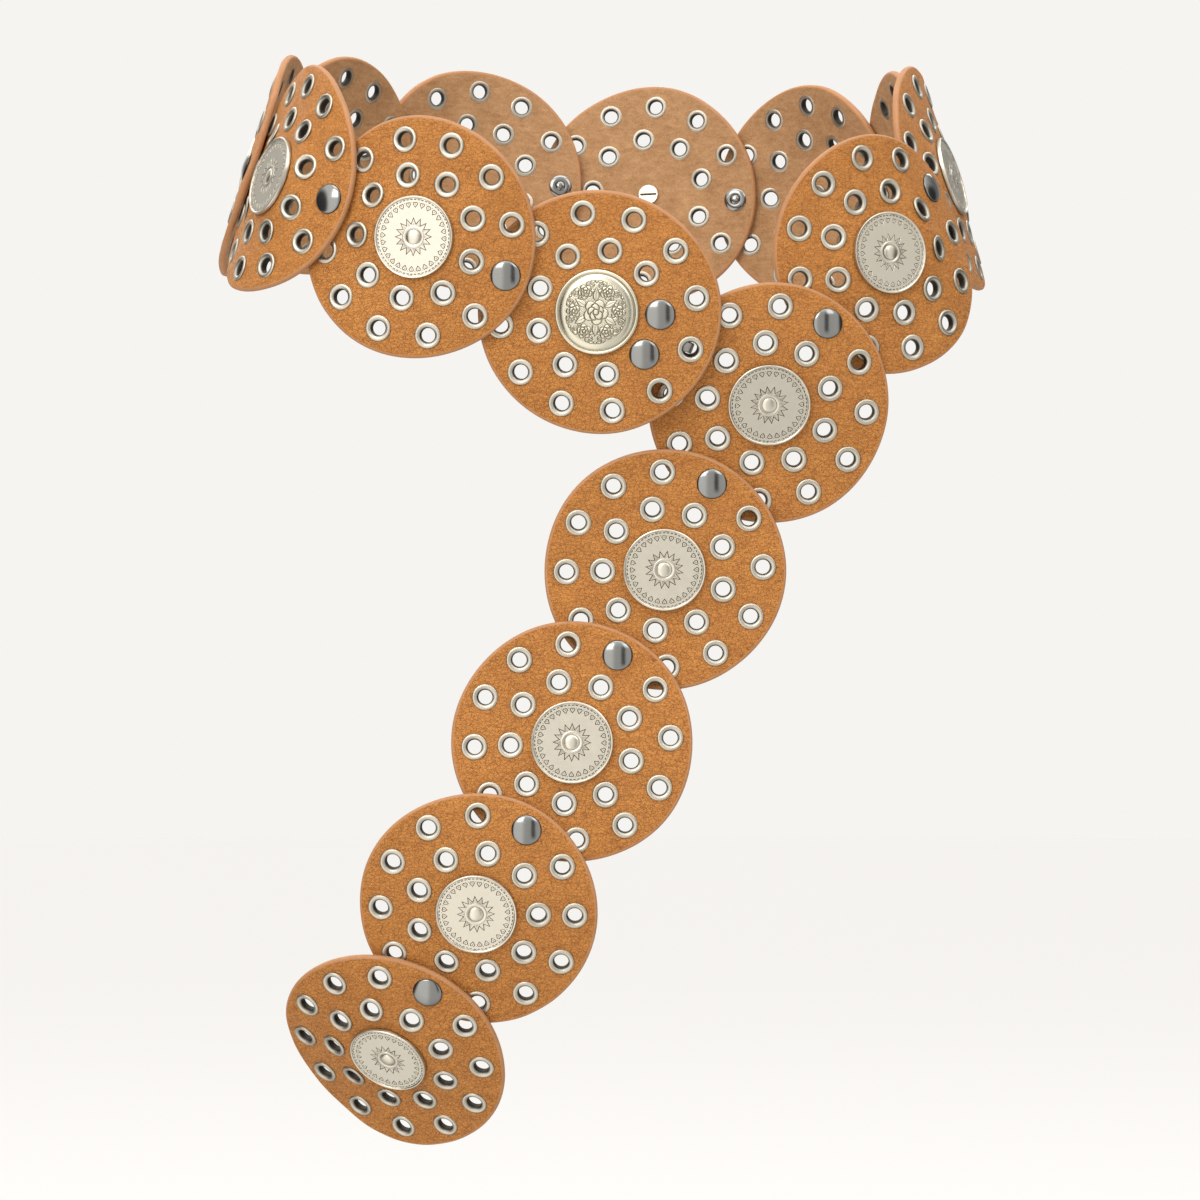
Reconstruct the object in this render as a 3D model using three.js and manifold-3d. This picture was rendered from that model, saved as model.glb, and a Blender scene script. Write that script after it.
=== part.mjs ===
// Concho belt: round leather discs riveted edge over edge into a hip loop, with a hanging tail.
// Millimetres. +X is to the right as seen from the front, +Y towards the back, +Z up.
// The origin is the middle of the loop, where the wearer's waist passes through.
import * as THREE from "three";
import { mergeVertices } from "three/addons/utils/BufferGeometryUtils.js";
import Module from "manifold-3d";

// Leather discs
const DISC_DIAMETER = 100;
const LEATHER_THICKNESS = 3;
const LAYER_GAP = 1;
const OUTER_RING_RADIUS = 40.5;
const INNER_RING_RADIUS = 25.5;
const INNER_RING_COUNT = 9;
const EYELET_HOLE_DIAMETER = 6.6;
const OUTLINE_SIDES = 24;
const HOLE_SIDES = 6;
const BEND_POINTS = 12;

// Rivets that join the discs, and the two that hold the hook plate
const RIVET_CAP_DIAMETER = 12.5;
const RIVET_CAP_HEIGHT = 2;
const RIVET_SHANK_DIAMETER = 4;
const RIVET_BURR_DIAMETER = 10;
const RIVET_BURR_THICKNESS = 1.2;
const RIVET_SIDES = 10;

// Conchos, each held by a screw post through the middle of its disc
const CONCHO_DIAMETER = 34;
const CONCHO_RIM_HEIGHT = 2;
const CONCHO_RIM_WIDTH = 1.5;
const CONCHO_FIELD_HEIGHT = 1.5;
const CONCHO_SIDES = 20;
const BUCKLE_CONCHO_DIAMETER = 35;
const BUCKLE_CONCHO_RIM_HEIGHT = 2.2;
const BUCKLE_CONCHO_DOME_HEIGHT = 3.4;
const DOME_FULLNESS = 0.7;
const POST_DIAMETER = 4;
const POST_HEAD_DIAMETER = 9;
const POST_HEAD_THICKNESS = 1;
const POST_SIDES = 8;

// Hook plate behind the buckle disc, ending in a tongue that hooks into the next disc
const HOOK_THICKNESS = 1;
const HOOK_PLATE_WIDTH = 27;
const HOOK_PLATE_LENGTH = 12;
const HOOK_CORNER = 3;
const HOOK_TONGUE_WIDTH = 4;
const HOOK_TURN_RADIUS = 1.6;
const HOOK_RETURN_LENGTH = 6;

// Clearances
const SEAT_GAP = 0.3;
const PLATE_GAP = 0.5;
const SHANK_CLEARANCE = 1;
const BUCKLE_CLEARANCE = 1;

// Each disc turns on its rivets, so one step of the chain is twice the outer ring's radius
const PITCH = 2 * OUTER_RING_RADIUS;
const LAYER_STEP = LEATHER_THICKNESS + LAYER_GAP;
const DISC_RADIUS = DISC_DIAMETER / 2;
const HALF_LEATHER = LEATHER_THICKNESS / 2;
const PRESSED_RADIUS = CONCHO_DIAMETER / 2 + 1;
const OVERLAP_START = PITCH - DISC_RADIUS - 1;
const SHANK_HOLE_RADIUS = (RIVET_SHANK_DIAMETER + SHANK_CLEARANCE) / 2;
const HOOK_RIVET_ANGLE = Math.PI / INNER_RING_COUNT;

// One row per disc. heading is the way on along the belt in degrees up from level, as seen from
// outside. pierced discs have their inner eyelets cut, and turned ones start that ring half a step on.
const BUCKLE = { name: "buckle_disc", heading: -21.5, pierced: true, turned: true };
const LEFT_CHAIN = [
  { name: "left_disc_1", heading: -22.5, pierced: true, turned: false },
  { name: "left_disc_2", heading: -19, pierced: true, turned: true },
  { name: "left_disc_3", heading: -9, pierced: true, turned: false },
];
const HOOK_DISC = { name: "hook_disc", heading: -35.5, pierced: true, turned: false };
const RIGHT_CHAIN = [
  { name: "right_disc_1", heading: 46.5, pierced: true, turned: false },
  { name: "right_disc_2", heading: 15.5, pierced: true, turned: false },
];
const TIP = { name: "tip_disc", heading: 58, pierced: true, turned: false };
const TAIL_CHAIN = [
  { name: "tail_disc_1", heading: 61.5, pierced: true, turned: false },
  { name: "tail_disc_2", heading: 62.5, pierced: true, turned: false },
  { name: "tail_disc_3", heading: 59, pierced: true, turned: true },
  TIP,
];
const BACK_CHAIN = [1, 2, 3, 4, 5].map((number) => ({
  name: `back_disc_${number}`, heading: null, pierced: false, turned: false,
}));
const LOOP_DISCS = 2 + LEFT_CHAIN.length + RIGHT_CHAIN.length + BACK_CHAIN.length;
const LOOP_LENGTH = LOOP_DISCS * PITCH;

// The hip form that the belt lies on, as shares of the loop's length. Each row is one level: its
// height, half its width, its depth in front of its middle and how far that middle is set back.
// roundness is 2 for an ellipse and more for an oval with fuller corners.
const FORM_LEVELS = [
  { height: -0.43, halfWidth: 0.095, depth: 0.059, setBack: 0.019, roundness: 1.8 },
  { height: -0.37, halfWidth: 0.131, depth: 0.082, setBack: 0.012, roundness: 1.8 },
  { height: -0.31, halfWidth: 0.167, depth: 0.1, setBack: 0.001, roundness: 2.3 },
  { height: -0.24, halfWidth: 0.187, depth: 0.109, setBack: -0.004, roundness: 2.85 },
  { height: -0.165, halfWidth: 0.191, depth: 0.109, setBack: -0.001, roundness: 3.0 },
  { height: -0.09, halfWidth: 0.189, depth: 0.11, setBack: -0.002, roundness: 3.05 },
  { height: -0.03, halfWidth: 0.176, depth: 0.115, setBack: -0.007, roundness: 3.1 },
  { height: 0.03, halfWidth: 0.159, depth: 0.123, setBack: -0.008, roundness: 2.7 },
  { height: 0.09, halfWidth: 0.14, depth: 0.132, setBack: -0.009, roundness: 2.2 },
];
const BUCKLE_CENTRE = { x: -0.0005, z: -0.016 };

// Where the back half starts from before it is fitted to close the loop
const FIRST_BACK_SHARE = 1;
const FIRST_BACK_HEADING = 4;
const SHARE_TRIAL = 0.01;
const HEADING_TRIAL = 0.5;
const FITTING_ROUNDS = 8;

// How finely the form is followed, and how far a curve runs on past its end levels
const WALK_STEP = 6;
const PAST_END = 0.4;
const TINY = 1e-9;

const degrees = THREE.MathUtils.degToRad;
const UP = new THREE.Vector3(0, 0, 1);

// One measure of the form at a height, as a smooth curve through the levels, with its slope
function levelAt(measure, z) {
  const unit = measure === "roundness" ? 1 : LOOP_LENGTH;
  const height = (i) => FORM_LEVELS[i].height * LOOP_LENGTH;
  const value = (i) => FORM_LEVELS[i][measure] * unit;
  const last = FORM_LEVELS.length - 1;
  const slope = (i) => {
    const below = Math.max(i - 1, 0);
    const above = Math.min(i + 1, last);
    return (value(above) - value(below)) / (height(above) - height(below));
  };
  let i = 0;
  while (i < last - 1 && z > height(i + 1)) i += 1;
  const span = height(i + 1) - height(i);
  const t = THREE.MathUtils.clamp((z - height(i)) / span, -PAST_END, 1 + PAST_END);
  const rise = value(i + 1) - value(i);
  const start = slope(i) * span;
  const end = slope(i + 1) * span;
  const square = 3 * rise - 2 * start - end;
  const cube = start + end - 2 * rise;
  return {
    value: value(i) + t * (start + t * (square + t * cube)),
    slope: (start + t * (2 * square + 3 * t * cube)) / span,
  };
}

// The hip form: a rounded oval at each height, with its own depth behind its middle
class HipForm {
  constructor(backShare) {
    this.backShare = backShare;
  }

  // How far a point lies outside the form, as a share of its size, with the gradient
  outside(point) {
    const width = levelAt("halfWidth", point.z);
    const depth = levelAt("depth", point.z);
    const middle = levelAt("setBack", point.z);
    const roundness = levelAt("roundness", point.z);
    const power = roundness.value;
    const y = point.y - middle.value;
    const xShare = Math.max(Math.abs(point.x / width.value), TINY);
    const yShare = Math.max(Math.abs(y / depth.value / (y > 0 ? this.backShare : 1)), TINY);
    const across = xShare ** power;
    const along = yShare ** power;
    const sum = across + along;
    const size = sum ** (1 / power);
    const gradientX = point.x === 0 ? 0 : size / sum * across / point.x;
    const gradientY = y === 0 ? 0 : size / sum * along / y;
    const taper = size / sum * (across * width.slope / width.value + along * depth.slope / depth.value);
    const spread = (across * Math.log(xShare) + along * Math.log(yShare)) / sum - Math.log(sum) / power;
    const gradientZ = size / power * spread * roundness.slope - taper - gradientY * middle.slope;
    return { value: size - 1, gradient: new THREE.Vector3(gradientX, gradientY, gradientZ) };
  }

  // The point in front of the form's middle at a place across and a height
  front(x, z) {
    const power = levelAt("roundness", z).value;
    const reach = (1 - Math.abs(x / levelAt("halfWidth", z).value) ** power) ** (1 / power);
    return new THREE.Vector3(x, levelAt("setBack", z).value - reach * levelAt("depth", z).value, z);
  }

  onto(point, times = 2) {
    const moved = point.clone();
    for (let i = 0; i < times; i += 1) {
      const { value, gradient } = this.outside(moved);
      moved.addScaledVector(gradient, -value / gradient.lengthSq());
    }
    return moved;
  }

  normal(point) {
    return this.outside(point).gradient.normalize();
  }

  // The unit direction on the form at a heading from level, as seen from outside
  direction(point, heading) {
    const normal = this.normal(point);
    const level = UP.clone().cross(normal).normalize();
    return level.applyAxisAngle(normal, degrees(heading));
  }

  // Straight on along the form: the point reached and the direction there
  walk(from, along, length) {
    let point = from.clone();
    let direction = along.clone();
    const steps = Math.max(1, Math.ceil(length / WALK_STEP));
    const turnOnto = (normal) => direction.addScaledVector(normal, -direction.dot(normal)).normalize();
    for (let i = 0; i < steps; i += 1) {
      turnOnto(this.normal(point.clone().addScaledVector(direction, length / steps / 2)));
      point = this.onto(point.addScaledVector(direction, length / steps));
      turnOnto(this.normal(point));
    }
    return { point, direction };
  }
}

// Lays discs from rivet to rivet, each with its middle half a pitch on. A chain laid onwards has
// discs that face the way it is laid, and any other has discs that face back to where it starts.
function layChain(form, rows, start, onwards) {
  const side = onwards ? 1 : -1;
  const discs = [];
  const rivets = [];
  let rivet = start;
  for (const row of rows) {
    const setOut = form.direction(rivet, row.heading).multiplyScalar(side);
    const middle = form.walk(rivet, setOut, OUTER_RING_RADIUS);
    const end = form.walk(middle.point, middle.direction, OUTER_RING_RADIUS);
    discs.push({ ...row, centre: middle.point, facing: middle.direction.clone().multiplyScalar(side) });
    rivets.push(end.point);
    rivet = end.point;
  }
  return { discs, rivets, end: rivet };
}

// Every disc and joint but the back's. A disc faces the neighbour that it lies over, apart from
// the buckle disc, which faces the disc that it hooks into.
function layFront(form) {
  const buckleCentre = form.front(BUCKLE_CENTRE.x * LOOP_LENGTH, BUCKLE_CENTRE.z * LOOP_LENGTH);
  const buckle = { ...BUCKLE, centre: buckleCentre, facing: form.direction(buckleCentre, BUCKLE.heading) };
  const firstLeft = form.walk(buckleCentre, buckle.facing.clone().negate(), OUTER_RING_RADIUS).point;
  const left = layChain(form, LEFT_CHAIN, firstLeft, false);

  const hookPoint = form.walk(buckleCentre, buckle.facing, OUTER_RING_RADIUS).point;
  const inwards = form.walk(hookPoint, form.direction(hookPoint, HOOK_DISC.heading), OUTER_RING_RADIUS);
  const hookCentre = inwards.point;
  const acrossHook = inwards.direction.clone().negate();
  const hookFacing = acrossHook.applyAxisAngle(form.normal(hookCentre), -Math.PI / 2);
  const hookDisc = { ...HOOK_DISC, centre: hookCentre, facing: hookFacing };
  const firstRight = form.walk(hookCentre, hookFacing, OUTER_RING_RADIUS).point;
  const firstTail = form.walk(hookCentre, hookFacing.clone().negate(), OUTER_RING_RADIUS).point;
  const right = layChain(form, RIGHT_CHAIN, firstRight, true);
  const tail = layChain(form, TAIL_CHAIN, firstTail, false);
  tail.rivets.pop();
  return {
    discs: [buckle, ...left.discs, hookDisc, ...right.discs, ...tail.discs],
    rivets: [firstLeft, ...left.rivets, firstRight, ...right.rivets, firstTail, ...tail.rivets],
    leftEnd: left.end,
    rightEnd: right.end,
  };
}

function layBelt(backShare, backHeading) {
  const form = new HipForm(backShare);
  const front = layFront(form);
  const rows = BACK_CHAIN.map((row) => ({ ...row, heading: backHeading }));
  const back = layChain(form, rows, front.rightEnd, true);
  const miss = back.end.clone().sub(front.leftEnd);
  const level = UP.clone().cross(form.normal(front.leftEnd)).normalize();
  back.rivets.pop();
  return {
    form,
    discs: [...front.discs, ...back.discs],
    rivets: [...front.rivets, ...back.rivets],
    miss: new THREE.Vector2(miss.dot(level), miss.z),
  };
}

// The back half's depth and heading are worked out so that the last back disc meets the left chain
function closeBelt() {
  let share = FIRST_BACK_SHARE;
  let heading = FIRST_BACK_HEADING;
  for (let round = 0; round < FITTING_ROUNDS; round += 1) {
    const miss = layBelt(share, heading).miss;
    const byShare = layBelt(share + SHARE_TRIAL, heading).miss.sub(miss).divideScalar(SHARE_TRIAL);
    const byHeading = layBelt(share, heading + HEADING_TRIAL).miss.sub(miss).divideScalar(HEADING_TRIAL);
    const area = byShare.x * byHeading.y - byHeading.x * byShare.y;
    share -= (miss.x * byHeading.y - byHeading.x * miss.y) / area;
    heading -= (byShare.x * miss.y - miss.x * byShare.y) / area;
  }
  return layBelt(share, heading);
}

const belt = closeBelt();
const form = belt.form;

// How high a disc's two ends lie over the form. Its far end lies over a neighbour and its near
// end under one. The buckle disc also clears the hook disc, whose ends rise and fall beneath it,
// with room for the hook's tongue between the two.
function endHeights(disc) {
  const under = -LAYER_STEP / 2;
  const over = LAYER_STEP / 2;
  const overHookDisc = over + LEATHER_THICKNESS + HOOK_THICKNESS + BUCKLE_CLEARANCE;
  return disc.name === BUCKLE.name ? { near: under, far: overHookDisc } : { near: under, far: over };
}

// Straight beneath the concho, then easing to level where the neighbour's leather begins
function seatHeight(disc, along) {
  const { near, far } = endHeights(disc);
  const bend = PRESSED_RADIUS / OVERLAP_START;
  const share = Math.min(Math.abs(along) / OVERLAP_START, 1);
  const slope = 2 / (1 + bend);
  const eased = share < bend ? slope * share : 1 - slope * (1 - share) ** 2 / (2 * (1 - bend));
  return (near + far) / 2 + Math.sign(along) * eased * (far - near) / 2;
}

// A point of a disc's leather: along and across it in the flat, and above its middle layer.
// The leather follows the form, but is pressed flat under its concho.
function discPoint(disc, along, across, above) {
  const radius = Math.hypot(along, across);
  const normal = form.normal(disc.centre);
  const outwards = disc.facing.clone().applyAxisAngle(normal, Math.atan2(across, along));
  const bent = form.walk(disc.centre, outwards, radius).point;
  const flat = disc.centre.clone().addScaledVector(outwards, radius);
  const following = THREE.MathUtils.smoothstep(radius, PRESSED_RADIUS, OVERLAP_START);
  const height = seatHeight(disc, along) + above;
  return flat.lerp(bent, following).addScaledVector(form.normal(bent), height);
}

// The frame of a fitting seated on a disc: X along the disc and Z out of the leather
function discFrame(disc, along, across) {
  const origin = discPoint(disc, along, across, 0);
  const xAxis = discPoint(disc, along + 1, across, 0).sub(discPoint(disc, along - 1, across, 0)).normalize();
  const yWay = discPoint(disc, along, across + 1, 0).sub(discPoint(disc, along, across - 1, 0));
  const zAxis = xAxis.clone().cross(yWay).normalize();
  return new THREE.Matrix4().makeBasis(xAxis, zAxis.clone().cross(xAxis), zAxis).setPosition(origin);
}

function rivetFrame(point) {
  const zAxis = form.normal(point);
  const xAxis = UP.clone().cross(zAxis).normalize();
  return new THREE.Matrix4().makeBasis(xAxis, zAxis.clone().cross(xAxis), zAxis).setPosition(point);
}

const materials = {
  leather: new THREE.MeshStandardMaterial({ color: 0xc98a45, roughness: 0.62, metalness: 0 }),
  silver: new THREE.MeshStandardMaterial({ color: 0xaaa79f, roughness: 0.38, metalness: 1 }),
  gunmetal: new THREE.MeshStandardMaterial({ color: 0x75716c, roughness: 0.3, metalness: 1 }),
  steel: new THREE.MeshStandardMaterial({ color: 0xb4b1ab, roughness: 0.35, metalness: 1 }),
};

function placedMesh(name, geometry, material, frame) {
  const mesh = new THREE.Mesh(geometry, material);
  mesh.name = name;
  mesh.applyMatrix4(frame);
  return mesh;
}

// Leather discs

function ring(count, radius, centre, startAngle) {
  return Array.from({ length: count }, (_, i) => {
    const angle = startAngle + i * 2 * Math.PI / count;
    return new THREE.Vector2(centre.x + radius * Math.cos(angle), centre.y + radius * Math.sin(angle));
  });
}

// Even triangles through scattered points, by adding the points one after another. A hair of
// unevenness, used only for choosing the triangles, keeps four points off one circle.
function triangulate(points) {
  const far = 40 * DISC_RADIUS;
  const spots = points.map((p, i) => ({ x: p.x + 1e-4 * Math.sin(7 * i), y: p.y + 1e-4 * Math.cos(5 * i) }));
  const count = spots.length;
  spots.push({ x: -far, y: -far }, { x: far, y: -far }, { x: 0, y: far });
  const holds = ([a, b, c], spot) => {
    const [ax, ay, bx, by, cx, cy] = [a, b, c].flatMap((i) => [spots[i].x - spot.x, spots[i].y - spot.y]);
    const [aa, bb, cc] = [ax * ax + ay * ay, bx * bx + by * by, cx * cx + cy * cy];
    return aa * (bx * cy - cx * by) - bb * (ax * cy - cx * ay) + cc * (ax * by - bx * ay) > 0;
  };
  let triangles = [[count, count + 1, count + 2]];
  for (let i = 0; i < count; i += 1) {
    const opened = triangles.filter((triangle) => holds(triangle, spots[i]));
    const edges = opened.flatMap(([a, b, c]) => [[a, b], [b, c], [c, a]]);
    const border = edges.filter(([a, b]) => !edges.some(([c, d]) => a === d && b === c));
    triangles = triangles.filter((triangle) => !opened.includes(triangle));
    triangles.push(...border.map(([a, b]) => [a, b, i]));
  }
  return triangles.filter((triangle) => triangle.every((i) => i < count));
}

// Where a disc is riveted, as places along its middle line
function rivetedEnds(disc) {
  if (disc.name === BUCKLE.name) return [-OUTER_RING_RADIUS];
  if (disc.name === TIP.name) return [OUTER_RING_RADIUS];
  return [-OUTER_RING_RADIUS, OUTER_RING_RADIUS];
}

// A disc's holes in the flat: for the concho's post, the shanks, the inner eyelets and the hook
function discHoles(disc) {
  const middle = new THREE.Vector2(0, 0);
  const holes = [{ centre: middle, radius: (POST_DIAMETER + SHANK_CLEARANCE) / 2 }];
  for (const along of rivetedEnds(disc)) {
    holes.push({ centre: new THREE.Vector2(along, 0), radius: SHANK_HOLE_RADIUS });
  }
  const firstAngle = disc.turned ? Math.PI / INNER_RING_COUNT : 0;
  const innerRing = ring(INNER_RING_COUNT, INNER_RING_RADIUS, middle, firstAngle);
  for (const centre of disc.pierced ? innerRing : []) {
    const fromFacing = Math.abs(Math.atan2(centre.y, centre.x));
    const riveted = disc.name === BUCKLE.name && fromFacing < 2 * HOOK_RIVET_ANGLE;
    holes.push({ centre, radius: riveted ? SHANK_HOLE_RADIUS : EYELET_HOLE_DIAMETER / 2 });
  }
  if (disc.name === HOOK_DISC.name) {
    holes.push({ centre: new THREE.Vector2(0, OUTER_RING_RADIUS), radius: EYELET_HOLE_DIAMETER / 2 });
  }
  return holes;
}

// Points inside the leather at which it can bend: one ring between the holes and the edge, and
// on the discs without eyelets one where those would be
function bendPoints(disc) {
  const middle = new THREE.Vector2(0, 0);
  const radius = (INNER_RING_RADIUS + DISC_RADIUS) / 2;
  const outerRing = ring(BEND_POINTS, radius, middle, Math.PI / BEND_POINTS);
  return disc.pierced ? outerRing : [...outerRing, ...ring(INNER_RING_COUNT, INNER_RING_RADIUS, middle, 0)];
}

function leatherDisc(disc) {
  const outline = ring(OUTLINE_SIDES, DISC_RADIUS, new THREE.Vector2(0, 0), Math.PI / OUTLINE_SIDES);
  const rims = discHoles(disc).map(({ centre, radius }) => ring(HOLE_SIDES, radius, centre, 0));
  const points = [...outline, ...rims.flat(), ...bendPoints(disc)];
  const rimOf = (i) => (i < OUTLINE_SIDES || i >= OUTLINE_SIDES + HOLE_SIDES * rims.length
    ? -1 : Math.floor((i - OUTLINE_SIDES) / HOLE_SIDES));
  const insideHole = ([a, b, c]) => rimOf(a) >= 0 && rimOf(a) === rimOf(b) && rimOf(b) === rimOf(c);
  const faces = triangulate(points).filter((triangle) => !insideHole(triangle));

  const toLocal = discFrame(disc, 0, 0).invert();
  const layer = (above) => points.map((p) => discPoint(disc, p.x, p.y, above).applyMatrix4(toLocal));
  const under = points.length;
  const wall = (a, b) => [a, a + under, b + under, a, b + under, b];
  const indices = faces.flatMap(([a, b, c]) => [a, b, c, c + under, b + under, a + under]);
  for (let i = 0; i < OUTLINE_SIDES; i += 1) indices.push(...wall(i, (i + 1) % OUTLINE_SIDES));
  rims.forEach((_, rim) => {
    const first = OUTLINE_SIDES + rim * HOLE_SIDES;
    for (let i = 0; i < HOLE_SIDES; i += 1) indices.push(...wall(first + (i + 1) % HOLE_SIDES, first + i));
  });
  const geometry = new THREE.BufferGeometry();
  geometry.setFromPoints([...layer(HALF_LEATHER), ...layer(-HALF_LEATHER)]);
  geometry.setIndex(indices);
  geometry.computeVertexNormals();
  return placedMesh(disc.name, geometry, materials.leather, discFrame(disc, 0, 0));
}

// Metal fittings

// A turned solid about Z from its profile, given as pairs of radius and height
function turned(profile, sides) {
  const points = profile.map(([radius, height]) => new THREE.Vector2(radius, height));
  return new THREE.LatheGeometry(points, sides).rotateX(Math.PI / 2);
}

const wasm = await Module();
wasm.setup();

function toSolid(geometry) {
  const bare = geometry.clone();
  bare.deleteAttribute("normal");
  bare.deleteAttribute("uv");
  const merged = mergeVertices(bare);
  const corners = Array.from(merged.index.array);
  const kept = [];
  for (let i = 0; i < corners.length; i += 3) {
    const [a, b, c] = corners.slice(i, i + 3);
    if (a !== b && b !== c && c !== a) kept.push(a, b, c);
  }
  const vertProperties = new Float32Array(merged.attributes.position.array);
  return new wasm.Manifold(new wasm.Mesh({ numProp: 3, vertProperties, triVerts: new Uint32Array(kept) }));
}

function toGeometry(solid) {
  const mesh = solid.getMesh();
  const geometry = new THREE.BufferGeometry();
  geometry.setAttribute("position", new THREE.BufferAttribute(new Float32Array(mesh.vertProperties), 3));
  geometry.setIndex(Array.from(mesh.triVerts));
  geometry.computeVertexNormals();
  return geometry;
}

// The post starts in the concho and ends in a flat head behind the leather
function conchoPost() {
  const head = -LEATHER_THICKNESS - 2 * SEAT_GAP;
  return toSolid(turned([
    [0, head - POST_HEAD_THICKNESS],
    [POST_HEAD_DIAMETER / 2, head - POST_HEAD_THICKNESS],
    [POST_HEAD_DIAMETER / 2, head],
    [POST_DIAMETER / 2, head],
    [POST_DIAMETER / 2, CONCHO_FIELD_HEIGHT / 2],
    [0, CONCHO_FIELD_HEIGHT / 2],
  ], POST_SIDES));
}

function conchoProfile(disc) {
  if (disc.name === BUCKLE.name) {
    const radius = BUCKLE_CONCHO_DIAMETER / 2;
    return [
      [0, 0], [radius, 0], [radius, BUCKLE_CONCHO_RIM_HEIGHT], [radius - CONCHO_RIM_WIDTH, CONCHO_FIELD_HEIGHT],
      [radius / 2, THREE.MathUtils.lerp(CONCHO_FIELD_HEIGHT, BUCKLE_CONCHO_DOME_HEIGHT, DOME_FULLNESS)],
      [0, BUCKLE_CONCHO_DOME_HEIGHT],
    ];
  }
  const radius = CONCHO_DIAMETER / 2;
  return [
    [0, 0], [radius, 0], [radius, CONCHO_RIM_HEIGHT], [radius - CONCHO_RIM_WIDTH, CONCHO_FIELD_HEIGHT],
    [0, CONCHO_FIELD_HEIGHT],
  ];
}

function concho(disc) {
  const solid = toSolid(turned(conchoProfile(disc), CONCHO_SIDES)).add(conchoPost());
  const seat = new THREE.Matrix4().makeTranslation(0, 0, HALF_LEATHER + SEAT_GAP);
  const name = disc.name.replace("disc", "concho");
  return placedMesh(name, toGeometry(solid), materials.silver, discFrame(disc, 0, 0).multiply(seat));
}

// A rivet through layers whose top and bottom lie at the given heights over its frame
function rivet(name, frame, top, bottom) {
  const capSeat = top + SEAT_GAP;
  const burrSeat = bottom - SEAT_GAP;
  const shank = RIVET_SHANK_DIAMETER / 2;
  const profile = [
    [0, burrSeat - RIVET_BURR_THICKNESS],
    [RIVET_BURR_DIAMETER / 2 - RIVET_BURR_THICKNESS / 2, burrSeat - RIVET_BURR_THICKNESS],
    [RIVET_BURR_DIAMETER / 2, burrSeat],
    [shank, burrSeat],
    [shank, capSeat],
    [RIVET_CAP_DIAMETER / 2, capSeat],
    [RIVET_CAP_DIAMETER / 3, capSeat + DOME_FULLNESS * RIVET_CAP_HEIGHT],
    [0, capSeat + RIVET_CAP_HEIGHT],
  ];
  return placedMesh(name, turned(profile, RIVET_SIDES), materials.gunmetal, frame);
}

function joiningRivets() {
  const reach = LAYER_STEP / 2 + HALF_LEATHER;
  return belt.rivets.map((point, i) => rivet(`joining_rivet_${i + 1}`, rivetFrame(point), reach, -reach));
}

// The hook's rivets take the two inner eyelets beside the way that the buckle disc faces
function hookRivetFrames(buckle) {
  const along = INNER_RING_RADIUS * Math.cos(HOOK_RIVET_ANGLE);
  const across = INNER_RING_RADIUS * Math.sin(HOOK_RIVET_ANGLE);
  return [discFrame(buckle, along, across), discFrame(buckle, along, -across)];
}

function hookRivets(buckle) {
  const bottom = -HALF_LEATHER - PLATE_GAP - HOOK_THICKNESS;
  return hookRivetFrames(buckle).map((frame, i) => rivet(`hook_rivet_${i + 1}`, frame, HALF_LEATHER, bottom));
}

// The stations of the hook's strip, from the plate's near edge along the buckle disc's middle line
// to the tongue's end: place along, height of the strip's middle over the form, lean and half width.
function hookStations(buckle) {
  const wide = HOOK_PLATE_WIDTH / 2;
  const narrow = HOOK_TONGUE_WIDTH / 2;
  const plateMiddle = INNER_RING_RADIUS * Math.cos(HOOK_RIVET_ANGLE);
  const plateStart = plateMiddle - HOOK_PLATE_LENGTH / 2;
  const plateEnd = plateMiddle + HOOK_PLATE_LENGTH / 2;
  const tongueStart = OUTER_RING_RADIUS - HOOK_RETURN_LENGTH;
  const turnStart = OUTER_RING_RADIUS - HOOK_TURN_RADIUS / 2;
  const behindBuckle = (along) => seatHeight(buckle, along) - HALF_LEATHER - PLATE_GAP - HOOK_THICKNESS / 2;
  const behindHookDisc = -HALF_LEATHER - PLATE_GAP - HOOK_THICKNESS / 2;
  const straight = (along, half) => ({ along, height: behindBuckle(along), lean: 0, half });
  const turning = (lean, height) => (
    { along: turnStart + HOOK_TURN_RADIUS * Math.sin(lean), height, lean, half: narrow });
  const turnDown = (lean) => turning(lean, behindBuckle(turnStart) - HOOK_TURN_RADIUS * (1 - Math.cos(lean)));
  const turnBack = (lean) => turning(lean, behindHookDisc + HOOK_TURN_RADIUS * (1 + Math.cos(lean)));
  return [
    straight(plateStart, wide - HOOK_CORNER),
    straight(plateStart + HOOK_CORNER, wide),
    straight(plateEnd - HOOK_CORNER, wide),
    straight(plateEnd, wide - HOOK_CORNER),
    straight(tongueStart, narrow),
    straight(turnStart, narrow),
    turnDown(Math.PI / 4),
    turnDown(Math.PI / 2),
    turnBack(Math.PI / 2),
    turnBack(3 * Math.PI / 4),
    turnBack(Math.PI),
    { along: turnStart - HOOK_RETURN_LENGTH, height: behindHookDisc, lean: Math.PI, half: narrow },
  ];
}

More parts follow.
